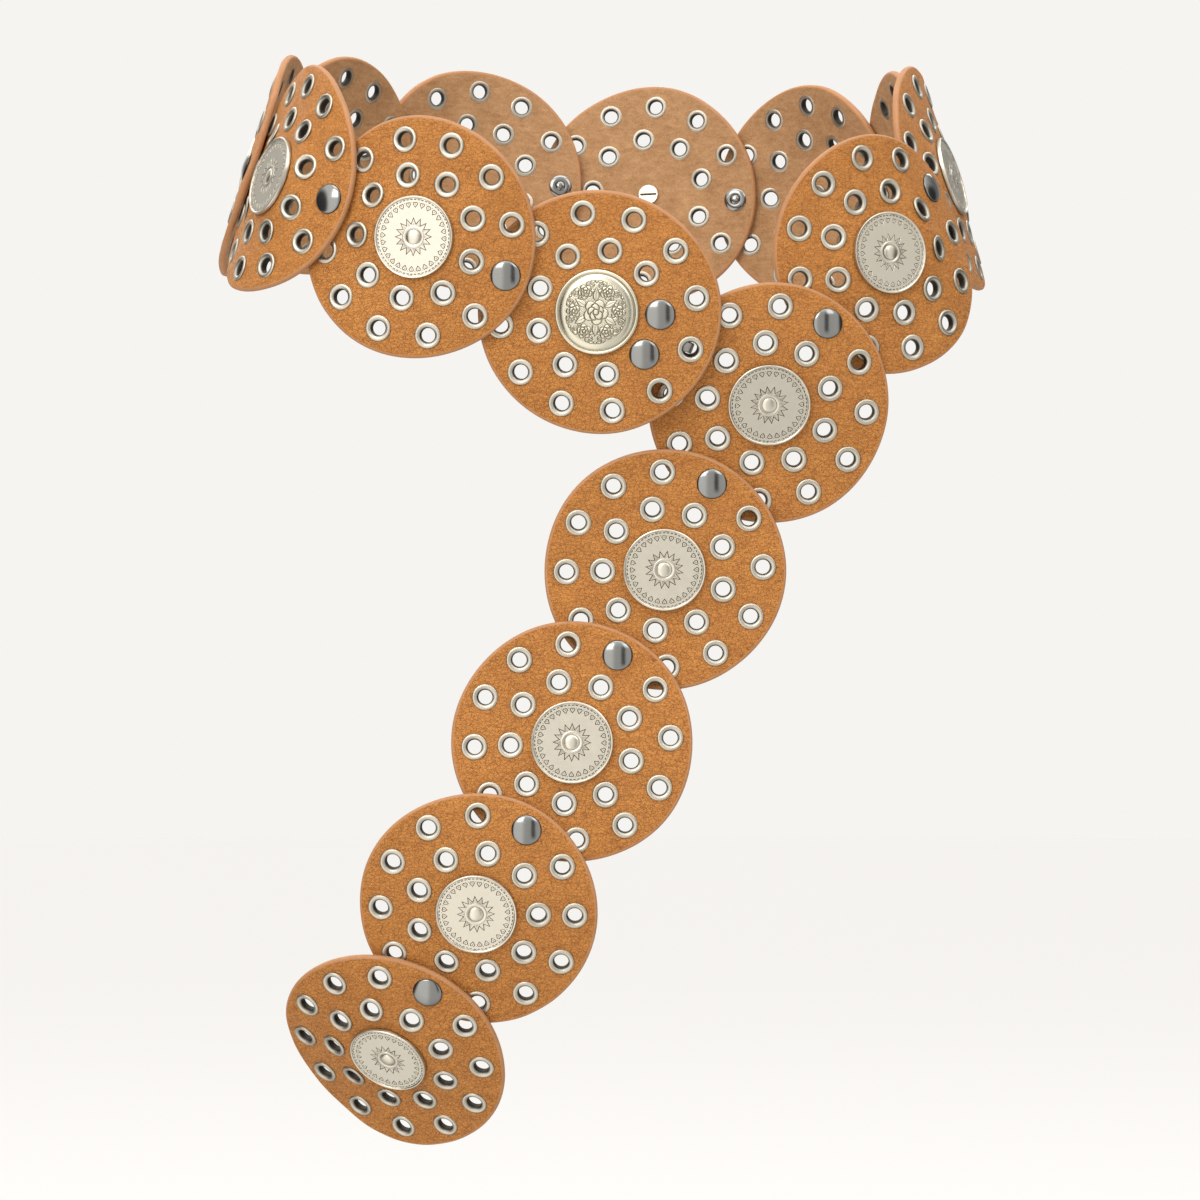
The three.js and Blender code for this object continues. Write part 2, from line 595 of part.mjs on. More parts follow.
// The hook: a plate behind the buckle disc that narrows to a tongue, which turns down through
// the hook disc's eyelet and back beneath its leather
function hook(buckle) {
  const frame = discFrame(buckle, 0, 0);
  const toLocal = frame.clone().invert();
  const points = [];
  for (const { along, height, lean, half } of hookStations(buckle)) {
    for (const [side, face] of [[1, 1], [-1, 1], [-1, -1], [1, -1]]) {
      const reach = along + face * HOOK_THICKNESS / 2 * Math.sin(lean);
      const above = height + face * HOOK_THICKNESS / 2 * Math.cos(lean) - seatHeight(buckle, reach);
      points.push(discPoint(buckle, reach, side * half, above).applyMatrix4(toLocal));
    }
  }
  const last = points.length - 4;
  const indices = [0, 2, 1, 0, 3, 2, last, last + 1, last + 2, last, last + 2, last + 3];
  for (let first = 0; first < last; first += 4) {
    for (let i = 0; i < 4; i += 1) {
      const [a, b] = [first + i, first + (i + 1) % 4];
      indices.push(a, b, b + 4, a, b + 4, a + 4);
    }
  }
  const strip = new THREE.BufferGeometry().setFromPoints(points);
  strip.setIndex(indices);
  let solid = toSolid(strip);
  for (const rivetAt of hookRivetFrames(buckle)) {
    const drill = new THREE.CylinderGeometry(SHANK_HOLE_RADIUS, SHANK_HOLE_RADIUS, 4 * LAYER_STEP, POST_SIDES);
    drill.rotateX(Math.PI / 2).applyMatrix4(rivetAt.premultiply(toLocal));
    solid = solid.subtract(toSolid(drill));
  }
  return placedMesh("buckle_hook", toGeometry(solid), materials.steel, frame);
}

const buckle = belt.discs.find((disc) => disc.name === BUCKLE.name);
const group = new THREE.Group();
group.name = "concho_belt";
group.add(...belt.discs.map(leatherDisc));
group.add(...belt.discs.map(concho));
group.add(...joiningRivets());
group.add(...hookRivets(buckle), hook(buckle));

export default group;
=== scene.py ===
# %% [markdown]
# # A concho belt of riveted leather discs
# The belt is a chain of sixteen round leather discs. Each one lies over the edge of the next and is
# riveted to it, so the chain turns only at its rivets. Metal eyelets line two rings of holes in every
# disc, and a silver concho is screwed to its middle. The belt hangs low round the hips, hooks at the
# front, and ends in a tail.
#
# The solids of the CAD model say where each piece goes and how large it is. This script keeps all of
# that, and builds a finer mesh in the place of each solid: rounded edges, rolled eyelets, engraving.
# Everything is in metres, so sizes are written in millimetres times MM.

# %% Load the fixed frame
import math

import bmesh
import bpy
import numpy as np
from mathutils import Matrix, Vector
from mathutils.geometry import delaunay_2d_cdt


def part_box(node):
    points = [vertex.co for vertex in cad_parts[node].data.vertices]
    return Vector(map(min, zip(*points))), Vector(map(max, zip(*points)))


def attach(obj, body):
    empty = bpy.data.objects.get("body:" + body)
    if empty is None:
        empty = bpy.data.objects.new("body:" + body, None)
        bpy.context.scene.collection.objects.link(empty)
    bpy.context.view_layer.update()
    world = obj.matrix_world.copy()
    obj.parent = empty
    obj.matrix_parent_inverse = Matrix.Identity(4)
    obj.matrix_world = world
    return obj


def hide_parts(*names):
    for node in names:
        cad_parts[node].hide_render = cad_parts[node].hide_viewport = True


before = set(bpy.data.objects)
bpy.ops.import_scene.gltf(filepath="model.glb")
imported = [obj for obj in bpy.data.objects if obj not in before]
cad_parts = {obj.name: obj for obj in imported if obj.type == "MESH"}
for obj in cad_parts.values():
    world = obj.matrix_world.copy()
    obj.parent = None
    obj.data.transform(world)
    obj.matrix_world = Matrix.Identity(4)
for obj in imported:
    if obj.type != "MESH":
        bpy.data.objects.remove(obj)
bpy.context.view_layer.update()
MM = 0.001
MM_PER_METRE = 1000
scene = bpy.context.scene
print("CAD nodes:", len(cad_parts))

# %% [markdown]
# ## Camera
# A long lens far away draws the belt with little perspective, as catalogue photographs do. The camera
# comes first, because every later choice of detail is judged through it. It looks straight along +Y, a
# little below the loop, so that the hanging tail is in the frame too.

# %% Camera
CAMERA_PLACE = (0.36 * MM, -2400 * MM, -134.1 * MM)
CAMERA_LENS = 166.58

camera_data = bpy.data.cameras.new("camera")
camera_data.lens = CAMERA_LENS
camera = bpy.data.objects.new("camera", camera_data)
camera.location = CAMERA_PLACE
camera.rotation_euler = (math.radians(90), 0, 0)
scene.collection.objects.link(camera)
scene.camera = camera
print("Camera lens in mm:", camera_data.lens)

# %% [markdown]
# ## Shader maths as Python
# A material is a tree of nodes. Placing and linking nodes one by one hides the idea, so a small class
# wraps an output socket. Sums and products of such wires add Math nodes by themselves, and one method
# makes any other node. The colour of a varying surface then reads like a formula.


# %% Wires between shader nodes
class Wire:
    """An output socket of a node tree, on which Python's operators add Math nodes."""

    def __init__(self, tree, socket=None):
        self.tree = tree
        self.socket = socket

    def node(self, kind, settings=None, inputs=None, output=0):
        node = self.tree.nodes.new(kind)
        for name, value in (settings or {}).items():
            if name == "stops":
                self.set_stops(node.color_ramp, value)
            else:
                setattr(node, name, value)
        for name, value in (inputs or {}).items():
            if isinstance(value, Wire):
                self.tree.links.new(value.socket, node.inputs[name])
            else:
                node.inputs[name].default_value = value
        return Wire(self.tree, node.outputs[output])

    def set_stops(self, ramp, stops):
        while len(ramp.elements) < len(stops):
            ramp.elements.new(0.5)
        for element, (place, value) in zip(ramp.elements, stops):
            element.position = place
            element.color = (value, value, value, 1)

    def maths(self, operation, first, second=0.0, clamp=False):
        settings = {"operation": operation, "use_clamp": clamp}
        return self.node("ShaderNodeMath", settings, {0: first, 1: second})

    def __add__(self, other):
        return self.maths("ADD", self, other)

    def __mul__(self, other):
        return self.maths("MULTIPLY", self, other)

    def __sub__(self, other):
        return self.maths("SUBTRACT", self, other)

    def __rsub__(self, other):
        return self.maths("SUBTRACT", other, self)

    __radd__ = __add__
    __rmul__ = __mul__

    def clipped(self):
        return self.maths("ADD", self, 0.0, clamp=True)

    def ramp(self, *stops):
        return self.node("ShaderNodeValToRGB", {"stops": stops}, {"Fac": self})

    def blend(self, low, high):
        """The colour low where this wire is 0 and high where it is 1."""
        settings = {"data_type": "RGBA", "clamp_factor": True}
        inputs = {"Factor": self}
        mixed = self.node("ShaderNodeMix", settings, inputs, output=2)
        for number, colour in ((6, low), (7, high)):
            socket = mixed.socket.node.inputs[number]
            if isinstance(colour, Wire):
                self.tree.links.new(colour.socket, socket)
            else:
                socket.default_value = (*colour, 1)
        return mixed


print("Wire operators ready")

# %% [markdown]
# ## A finish
# Every material here is one Principled BSDF. What is the same all over the surface is set on its
# sockets as plain numbers. What varies, such as the colour of leather from pore to pore, comes from
# textures in object space. The meshes hold real metres, so a scale of 1000 gives cells a millimetre
# wide, on every piece alike.


# %% Make one finish
def finish(name, recipe, **constants):
    """A Principled material: recipe(start) gives its varying sockets, constants the rest."""
    material = bpy.data.materials.new(name)
    material.use_nodes = True
    tree = material.node_tree
    shader = tree.nodes["Principled BSDF"]
    for socket, value in constants.items():
        shader.inputs[socket.replace("_", " ")].default_value = value
    for socket, wire in recipe(Wire(tree)).items():
        tree.links.new(wire.socket, shader.inputs[socket])
    return material


def places(start):
    return start.node("ShaderNodeTexCoord", output=3)


def noise(at, scale, detail=3.0, roughness=0.55):
    inputs = {"Vector": at, "Scale": scale, "Detail": detail, "Roughness": roughness}
    return at.node("ShaderNodeTexNoise", inputs=inputs)


def cracks(at, scale):
    """Distance to the edge of the nearest cell: 0 in the creases between the cells."""
    return at.node("ShaderNodeTexVoronoi", {"feature": "DISTANCE_TO_EDGE"}, {"Vector": at, "Scale": scale})


def bumped(height, distance, strength=1.0):
    """distance is in metres, the depth that a height of 1 stands for."""
    inputs = {"Height": height, "Distance": distance, "Strength": strength}
    return height.node("ShaderNodeBump", inputs=inputs)


def shifted(at, by, amount):
    """Places pushed about by noise, so that a pattern loses its even cells."""
    push = at.node("ShaderNodeVectorMath", {"operation": "SCALE"}, {0: by, "Scale": amount})
    return at.node("ShaderNodeVectorMath", {"operation": "ADD"}, {0: at, 1: push})


def stretched(at, x, y, z):
    return at.node("ShaderNodeVectorMath", {"operation": "MULTIPLY"}, {0: at, 1: (x, y, z)})


print("At a scale of 1000 a texture's cells are", 1 / MM_PER_METRE / MM, "mm wide")

# %% [markdown]
# ## Leather
# The discs are thick vegetable-tanned leather, dyed an orange tan. Seen close it is never one colour:
# fine creases net the surface, dye sits darker in them, and soft patches lie underneath. The grain side
# is satin. The flesh side, which the hips hide but an open loop shows, is matt and a little paler. The
# cut edge is burnished, pinker and darker. So one hide needs three finishes, each given to its own faces.

# %% Leather finishes
TAN_DEEP = (0.36, 0.125, 0.022)
TAN_LIGHT = (0.64, 0.27, 0.058)
TAN_CREASE = (0.17, 0.055, 0.011)
SUEDE_DEEP = (0.26, 0.125, 0.05)
SUEDE_LIGHT = (0.48, 0.275, 0.135)
EDGE_DEEP = (0.31, 0.135, 0.05)
EDGE_LIGHT = (0.53, 0.26, 0.115)


def grain_side(start):
    at = places(start)
    level = stretched(at, 1, 1, 1.6)
    creases = cracks(shifted(level, noise(at, 420, 3.0, 0.65), 2.6 * MM), 480).ramp((0.0, 0.0), (0.075, 1.0))
    wrinkles = cracks(shifted(level, noise(at, 900, 2.0), 1.2 * MM), 1150).ramp((0.0, 0.0), (0.15, 1.0))
    pores = noise(at, 1700, 3.0, 0.7)
    patches = noise(at, 55, 3.0)
    streaks = noise(stretched(at, 0.3, 0.3, 1), 650, 3.0, 0.65)
    mottling = noise(level, 620, 4.0, 0.7)
    tone = (patches * 0.5 + streaks * 1.3 + mottling * 1.1 + pores * 1.3 - 1.6).clipped()
    dyed = tone.blend(TAN_DEEP, TAN_LIGHT)
    net = creases * 0.6 + wrinkles * 0.35 + pores * 0.6 - 0.24
    height = creases * 0.8 + wrinkles * 0.5 + pores * 0.5 + streaks * 0.6
    return {
        "Base Color": net.clipped().blend(TAN_CREASE, dyed),
        "Roughness": 0.66 - mottling * 0.25,
        "Normal": bumped(height, 0.18 * MM, 0.8),
    }


def flesh_side(start):
    at = places(start)
    nap = noise(at, 1300, 4.0, 0.8)
    fibres = noise(stretched(at, 0.45, 0.45, 1), 520, 4.0, 0.75)
    patches = noise(at, 90, 3.0)
    tone = (nap * 1.5 + fibres * 1.5 + patches * 0.7 - 1.3).clipped()
    return {
        "Base Color": tone.blend(SUEDE_DEEP, SUEDE_LIGHT),
        "Roughness": 0.82 + nap * 0.15,
        "Normal": bumped(nap + fibres, 0.22 * MM, 0.8),
    }


def cut_edge(start):
    at = places(start)
    fibres = noise(at, 1100, 4.0, 0.7)
    patches = noise(at, 120, 2.0)
    tone = (fibres * 0.8 + patches * 0.5 - 0.2).clipped()
    return {
        "Base Color": tone.blend(EDGE_DEEP, EDGE_LIGHT),
        "Roughness": 0.5 + fibres * 0.2,
        "Normal": bumped(fibres, 0.1 * MM, 0.5),
    }


leather = [
    finish("leather_grain_side", grain_side, Specular_IOR_Level=0.3),
    finish("leather_flesh_side", flesh_side, Specular_IOR_Level=0.25),
    finish("leather_cut_edge", cut_edge, Specular_IOR_Level=0.4),
]
GRAIN, FLESH, EDGE = 0, 1, 2
print("Leather finishes:", [material.name for material in leather])

# %% [markdown]
# ## Metals
# The conchos are antique silver: bright on the field and dark where tarnish sits in the cuts. Each mesh
# carries that as a number on its points, called tarnish, which is 1 at the bottom of a cut. On the eyelets
# and rivets the same number is painted shade: dark inside an eyelet's barrel and under its flange's edge,
# and round the rim of a rivet's cap, where shade falls. The eyelets are satin nickel and the rivets
# polished gunmetal. Handling leaves faint scratches and a slightly uneven polish on all of them, which the
# roughness shows.

# %% Metal finishes
# Real tarnish in the conchos' cuts, and painted shade on the eyelets and rivets.
TARNISH_AND_SHADE = "tarnish"


def metal(bright, dark, polish, unevenness, wear=0.35):
    """polish is the roughness of clean metal, wear how far its dark specks show."""
    def recipe(start):
        at = places(start)
        # tarnish: real tarnish on the conchos, painted shade on the eyelets and rivets.
        tarnish = start.node("ShaderNodeAttribute", {"attribute_name": TARNISH_AND_SHADE}, output=2)
        smears = noise(at, 260, 4.0, 0.65)
        specks = noise(at, 1400, 3.0, 0.7)
        clean = smears.blend(tuple(0.86 * value for value in bright), bright)
        worn = specks.ramp((0.64, 0.0), (0.8, wear))
        waves = smears * 0.7 + specks * 0.3
        return {
            "Base Color": (tarnish * 1.6 + worn).clipped().blend(clean, dark),
            "Roughness": (tarnish * 0.3 + smears * unevenness + polish).clipped(),
            "Normal": bumped(waves, 0.05 * MM, 0.25),
        }
    return recipe


silver = finish("antique_silver", metal((0.69, 0.64, 0.54), (0.13, 0.105, 0.075), 0.25, 0.14), Metallic=1)
champagne = finish("champagne_silver", metal((0.66, 0.615, 0.49), (0.10, 0.085, 0.05), 0.2, 0.14), Metallic=1)
nickel = finish("satin_nickel", metal((0.59, 0.54, 0.45), (0.07, 0.06, 0.05), 0.36, 0.14, 0.15), Metallic=1)
gunmetal = finish("polished_gunmetal", metal((0.27, 0.27, 0.26), (0.02, 0.02, 0.02), 0.12, 0.08, 0.1),
                  Metallic=1)
steel = finish("hook_steel", metal((0.56, 0.55, 0.52), (0.12, 0.11, 0.10), 0.28, 0.2), Metallic=1)
print("Metal finishes:", silver.name, champagne.name, nickel.name, gunmetal.name, steel.name)

# %% [markdown]
# ## The hips that the belt lies on
# A leather disc bends only as far as the hips beneath it do, so the hips come before the leather. They
# aren't part of the belt and aren't drawn. They are a formula: at each height a rounded oval, whose
# width, depth and squareness run smoothly through a few chosen levels. A surface given this way answers
# the two questions that laying a belt needs: which way is out, and where do I get to if I walk straight
# on. NumPy answers them for thousands of points at once.

# %% Measures of the hips at each height
PITCH = 81 * MM
LOOP_LENGTH = 12 * PITCH
LEVEL_HEIGHTS = np.array([-0.43, -0.37, -0.31, -0.24, -0.165, -0.09, -0.03, 0.03, 0.09]) * LOOP_LENGTH
HALF_WIDTHS = np.array([0.095, 0.131, 0.167, 0.187, 0.191, 0.189, 0.176, 0.159, 0.14]) * LOOP_LENGTH
DEPTHS = np.array([0.059, 0.082, 0.1, 0.109, 0.109, 0.11, 0.115, 0.123, 0.132]) * LOOP_LENGTH
SET_BACKS = np.array([0.019, 0.012, 0.001, -0.004, -0.001, -0.002, -0.007, -0.008, -0.009]) * LOOP_LENGTH
ROUNDNESS = np.array([1.8, 1.8, 2.3, 2.85, 3.0, 3.05, 3.1, 2.7, 2.2])
PAST_END = 0.4  # the share of a span that the curve is followed past the last level
TINY = 1e-9
UP = np.array([0.0, 0.0, 1.0])


def level_at(measure, z):
    """A measure and its slope at heights z, on a smooth curve through the levels."""
    last = len(measure) - 1
    below = np.maximum(np.arange(last + 1) - 1, 0)
    above = np.minimum(np.arange(last + 1) + 1, last)
    slopes = (measure[above] - measure[below]) / (LEVEL_HEIGHTS[above] - LEVEL_HEIGHTS[below])
    i = np.searchsorted(LEVEL_HEIGHTS[1:last], z)
    span = LEVEL_HEIGHTS[i + 1] - LEVEL_HEIGHTS[i]
    t = np.clip((z - LEVEL_HEIGHTS[i]) / span, -PAST_END, 1 + PAST_END)
    rise = measure[i + 1] - measure[i]
    start = slopes[i] * span
    end = slopes[i + 1] * span
    square = 3 * rise - 2 * start - end
    cube = start + end - 2 * rise
    value = measure[i] + t * (start + t * (square + t * cube))
    return value, (start + t * (2 * square + 3 * t * cube)) / span


print("Hip width at the buckle in mm:", round(2 * float(level_at(HALF_WIDTHS, 0.0)[0]) / MM))


# %% The hips as a surface
def unit(vectors):
    return vectors / np.linalg.norm(vectors, axis=-1, keepdims=True)


def dot(first, second):
    return np.sum(first * second, axis=-1, keepdims=True)


def turned_about(vectors, axes, angles):
    """Vectors square to the axes, turned about them by the angles."""
    angles = np.asarray(angles)[..., None]
    return vectors * np.cos(angles) + np.cross(axes, vectors) * np.sin(angles)


class Hips:
    """The hips, with their back half scaled in depth to close the belt."""

    def __init__(self, back_share):
        self.back_share = back_share

    def outside(self, points):
        """How far points lie outside, as a share of the size, with the gradient."""
        x, z = points[..., 0], points[..., 2]
        width, width_slope = level_at(HALF_WIDTHS, z)
        depth, depth_slope = level_at(DEPTHS, z)
        middle, middle_slope = level_at(SET_BACKS, z)
        power, power_slope = level_at(ROUNDNESS, z)
        y = points[..., 1] - middle
        share_x = np.maximum(np.abs(x / width), TINY)
        share_y = np.maximum(np.abs(y / depth / np.where(y > 0, self.back_share, 1)), TINY)
        across = share_x ** power
        along = share_y ** power
        total = across + along
        size = total ** (1 / power)
        step_x = size / total * across / np.where(x == 0, np.inf, x)
        step_y = size / total * along / np.where(y == 0, np.inf, y)
        taper = size / total * (across * width_slope / width + along * depth_slope / depth)
        spread = (across * np.log(share_x) + along * np.log(share_y)) / total - np.log(total) / power
        step_z = size / power * spread * power_slope - taper - step_y * middle_slope
        return size - 1, np.stack([step_x, step_y, step_z], axis=-1)

    def front(self, x, z):
        power = level_at(ROUNDNESS, z)[0]
        reach = (1 - abs(x / level_at(HALF_WIDTHS, z)[0]) ** power) ** (1 / power)
        return np.array([x, level_at(SET_BACKS, z)[0] - reach * level_at(DEPTHS, z)[0], z])

    def onto(self, points):
        for _ in range(2):
            value, gradient = self.outside(points)
            points = points - gradient * value[..., None] / dot(gradient, gradient)
        return points

    def normal(self, points):
        return unit(self.outside(points)[1])

    def direction(self, point, heading):
        normal = self.normal(point)
        return turned_about(unit(np.cross(UP, normal)), normal, math.radians(heading))

    def walk(self, points, ways, lengths):
        """Straight on along the surface: the points reached and the ways there."""
        steps = max(1, math.ceil(float(np.max(lengths)) / (6 * MM)))
        stride = np.asarray(lengths)[..., None] / steps
        for _ in range(steps):
            ahead = self.normal(points + ways * stride / 2)
            ways = unit(ways - ahead * dot(ways, ahead))
            points = self.onto(points + ways * stride)
            here = self.normal(points)
            ways = unit(ways - here * dot(ways, here))
        return points, ways


print("Front of the hips at the buckle in mm:", np.round(Hips(1.0).front(0.0, -0.0156) / MM, 1))

# %% [markdown]
# ## Laying the chain
# A real belt is laid out rivet by rivet: each disc's two rivets sit half a pitch to either side of its
# middle, and the next disc starts at the last rivet, turned to its own heading. The same walk along the
# hips gives every disc its middle and the way it faces. The hidden back discs share one heading. It
# and the depth of the back are worked out so that the last rivet meets the left chain.

# %% The discs and their headings
DISC_RADIUS = 50 * MM
HALF_LEATHER = 1.5 * MM
LAYER_STEP = 4 * MM
OUTER_RING = 40.5 * MM
INNER_RING = 25.5 * MM
INNER_COUNT = 9
OUTER_COUNT = 12
HOOK_RIVET_ANGLE = math.pi / INNER_COUNT
BUCKLE_HEADING = -21.5
BUCKLE_MIDDLE = (-0.0005 * LOOP_LENGTH, -0.016 * LOOP_LENGTH)
HOOK_HEADING = -35.5
LEFT_CHAIN = [("left_disc_1", -22.5), ("left_disc_2", -19), ("left_disc_3", -9)]
RIGHT_CHAIN = [("right_disc_1", 46.5), ("right_disc_2", 15.5)]
TAIL_CHAIN = [("tail_disc_1", 61.5), ("tail_disc_2", 62.5), ("tail_disc_3", 59), ("tip_disc", 58)]
BACK_NAMES = [f"back_disc_{number}" for number in range(1, 6)]
HALF_STEP_ON = {"buckle_disc", "left_disc_2", "tail_disc_3"}
print("Discs in the left, right, tail and back chains:",
      [len(chain) for chain in (LEFT_CHAIN, RIGHT_CHAIN, TAIL_CHAIN, BACK_NAMES)])


# %% Lay the chains from rivet to rivet
def lay_chain(hips, rows, rivet, onwards):
    side = 1 if onwards else -1
    discs = {}
    rivets = []
    for name, heading in rows:
        middle, way = hips.walk(rivet, hips.direction(rivet, heading) * side, OUTER_RING)
        discs[name] = (middle, way * side)
        rivet = hips.walk(middle, way, OUTER_RING)[0]
        rivets.append(rivet)
    return discs, rivets


def lay_front(hips):
    """The buckle, hook, left, right and tail discs, and the rivets in the order of the solids."""
    buckle = hips.front(*BUCKLE_MIDDLE)
    facing = hips.direction(buckle, BUCKLE_HEADING)
    first_left = hips.walk(buckle, -facing, OUTER_RING)[0]
    left, left_rivets = lay_chain(hips, LEFT_CHAIN, first_left, False)
    hook_point = hips.walk(buckle, facing, OUTER_RING)[0]
    hook, inwards = hips.walk(hook_point, hips.direction(hook_point, HOOK_HEADING), OUTER_RING)
    hook_facing = turned_about(-inwards, hips.normal(hook), -math.pi / 2)
    first_right = hips.walk(hook, hook_facing, OUTER_RING)[0]
    first_tail = hips.walk(hook, -hook_facing, OUTER_RING)[0]
    right, right_rivets = lay_chain(hips, RIGHT_CHAIN, first_right, True)
    tail, tail_rivets = lay_chain(hips, TAIL_CHAIN, first_tail, False)
    discs = {"buckle_disc": (buckle, facing), **left, "hook_disc": (hook, hook_facing), **right, **tail}
    rivets = [first_left, *left_rivets, first_right, *right_rivets, first_tail, *tail_rivets[:-1]]
    return discs, rivets, left_rivets[-1], right_rivets[-1]


def lay_belt(back_share, back_heading):
    hips = Hips(back_share)
    discs, rivets, left_end, right_end = lay_front(hips)
    back, back_rivets = lay_chain(hips, [(name, back_heading) for name in BACK_NAMES], right_end, True)
    gap = back_rivets[-1] - left_end
    level = unit(np.cross(UP, hips.normal(left_end)))
    return hips, {**discs, **back}, rivets + back_rivets[:-1], np.array([gap @ level, gap[2]])


FIRST_GUESS = (1.0, 4.0)
print("Gap at the first guess, level and upwards in mm:", np.round(lay_belt(*FIRST_GUESS)[3] / MM, 1))

# %% Close the loop
SHARE_TRIAL = 0.01
HEADING_TRIAL = 0.5
fitted = np.array(FIRST_GUESS)
for _ in range(8):
    miss = lay_belt(*fitted)[3]
    by_share = (lay_belt(fitted[0] + SHARE_TRIAL, fitted[1])[3] - miss) / SHARE_TRIAL
    by_heading = (lay_belt(fitted[0], fitted[1] + HEADING_TRIAL)[3] - miss) / HEADING_TRIAL
    fitted = fitted - np.linalg.solve(np.stack([by_share, by_heading], axis=1), miss)
hips, discs, rivet_places, miss = lay_belt(*fitted)
print("Discs:", len(discs), "rivets:", len(rivet_places), "gap left in mm:", np.round(miss / MM, 4))
print("Back depth share and heading:", np.round(fitted, 4))

# %% [markdown]
# ## From a flat disc to a bent one
# Leather is cut flat and bends in one piece, so each disc is drawn flat and then carried onto the hips
# point by point: a walk from the middle in the point's own direction keeps its distance. Under the
# concho the screw pulls the leather flat. A disc lies over one neighbour and under the other, so its
# two ends stand at different heights, and it leans from one to the other across its middle.

# %% How high the leather lies
PRESSED = 18 * MM
OVERLAP_CLEARANCE = 1 * MM
HOOK_ROOM = 2 * MM
OVERLAP_START = PITCH - DISC_RADIUS - OVERLAP_CLEARANCE
NEAR_HEIGHT = -LAYER_STEP / 2
FAR_HEIGHT = LAYER_STEP / 2
BUCKLE_FAR_HEIGHT = FAR_HEIGHT + 2 * HALF_LEATHER + HOOK_ROOM


def smoothstep(values, low, high):
    t = np.clip((values - low) / (high - low), 0, 1)
    return t * t * (3 - 2 * t)


def seat_height(name, along):
    """Straight beneath the concho, then easing to level where the neighbour's leather begins."""
    far = BUCKLE_FAR_HEIGHT if name == "buckle_disc" else FAR_HEIGHT
    bend = PRESSED / OVERLAP_START
    share = np.minimum(np.abs(along) / OVERLAP_START, 1)
    slope = 2 / (1 + bend)
    eased = np.where(share < bend, slope * share, 1 - slope * (1 - share) ** 2 / (2 * (1 - bend)))
    return (NEAR_HEIGHT + far) / 2 + np.sign(along) * eased * (far - NEAR_HEIGHT) / 2


for name in ("left_disc_1", "buckle_disc"):
    ends = seat_height(name, np.array([-OUTER_RING, OUTER_RING]))
    print("Heights at the rivets of", name, "in mm:", np.round(ends / MM, 1))


# %% Carry flat points onto the hips
def disc_points(name, along, across, above):
    """Places on a disc's flat, and heights over its middle layer, as points in space."""
    along, across, above = np.broadcast_arrays(*(np.asarray(a, float) for a in (along, across, above)))
    middle, facing = discs[name]
    radius = np.hypot(along, across)
    normal = np.broadcast_to(hips.normal(middle), (*radius.shape, 3))
    outwards = turned_about(np.broadcast_to(facing, normal.shape), normal, np.arctan2(across, along))
    bent = hips.walk(np.broadcast_to(middle, normal.shape), outwards, radius)[0]
    flat = middle + outwards * radius[..., None]
    following = smoothstep(radius, PRESSED, OVERLAP_START)[..., None]
    height = (seat_height(name, along) + above)[..., None]
    return flat + (bent - flat) * following + hips.normal(bent) * height


def disc_frames(name, along, across):
    """Where fittings sit on a disc: X along it and Z out of the leather, one frame a row."""
    along = np.atleast_1d(along)
    across = np.atleast_1d(across)
    origin = disc_points(name, along, across, 0)
    x_axis = unit(disc_points(name, along + MM, across, 0) - disc_points(name, along - MM, across, 0))
    y_way = disc_points(name, along, across + MM, 0) - disc_points(name, along, across - MM, 0)
    z_axis = unit(np.cross(x_axis, y_way))
    return origin, x_axis, np.cross(z_axis, x_axis), z_axis


def rivet_frame(point):
    z_axis = hips.normal(point)
    x_axis = unit(np.cross(UP, z_axis))
    return point[None], x_axis[None], np.cross(z_axis, x_axis)[None], z_axis[None]


def seated(local, frames):
    """Local points (N, 3) placed in each frame: (frames, N, 3)."""
    origin, x_axis, y_axis, z_axis = (part[:, None, :] for part in frames)
    return origin + local[:, 0:1] * x_axis + local[:, 1:2] * y_axis + local[:, 2:3] * z_axis


low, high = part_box("left_disc_1")
turns = np.arange(64)
edge = disc_points("left_disc_1", DISC_RADIUS * np.cos(turns), DISC_RADIUS * np.sin(turns), 0)
print("left_disc_1 in x, mm: solid", round(low.x / MM, 1), round(high.x / MM, 1),
      "walked", np.round([edge[:, 0].min() / MM, edge[:, 0].max() / MM], 1))

# %% [markdown]
# ## Joining parts of a mesh
# A piece such as an engraved concho has an engraved face, a turned rim and a screw, which are easiest to
# make apart. A small collector takes their points and faces, and the mesh is made in one go. Points that
# meet are merged, so the piece is one closed skin. Edges that turn sharply are marked, and the rest is
# shaded smooth.


# %% Collect faces and make a piece
MERGE_DISTANCE = 1e-6


class Skin:
    """Points, faces, the finish of each face and the tarnish of each point, which also holds painted shade.
    """

    def __init__(self):
        self.points = []
        self.faces = []
        self.finishes = []
        self.tarnish = []
        self.count = 0

    def add(self, points, faces, finish_index=0, tarnish=0.0):
        self.points.append(points)
        self.faces.extend(tuple(self.count + i for i in face) for face in faces)
        self.finishes.extend([finish_index] * len(faces))
        self.tarnish.append(np.broadcast_to(tarnish, len(points)))
        self.count += len(points)

    def piece(self, name, materials, replaced=(), sharp=35.0):
        points = np.concatenate(self.points)
        mesh = bpy.data.meshes.new(name)
        mesh.from_pydata(points.tolist(), [], self.faces)
        mesh.polygons.foreach_set("material_index", self.finishes)
        values = mesh.attributes.new(TARNISH_AND_SHADE, "FLOAT", "POINT")
        values.data.foreach_set("value", np.concatenate(self.tarnish).astype(np.float32))
        merge_doubles(mesh)
        mesh.polygons.foreach_set("use_smooth", [True] * len(mesh.polygons))
        mesh.set_sharp_from_angle(angle=math.radians(sharp))
        for material in materials:
            mesh.materials.append(material)
        made = bpy.data.objects.new(name, mesh)
        scene.collection.objects.link(made)
        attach(made, "root")
        if replaced:
            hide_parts(*replaced)
        return made


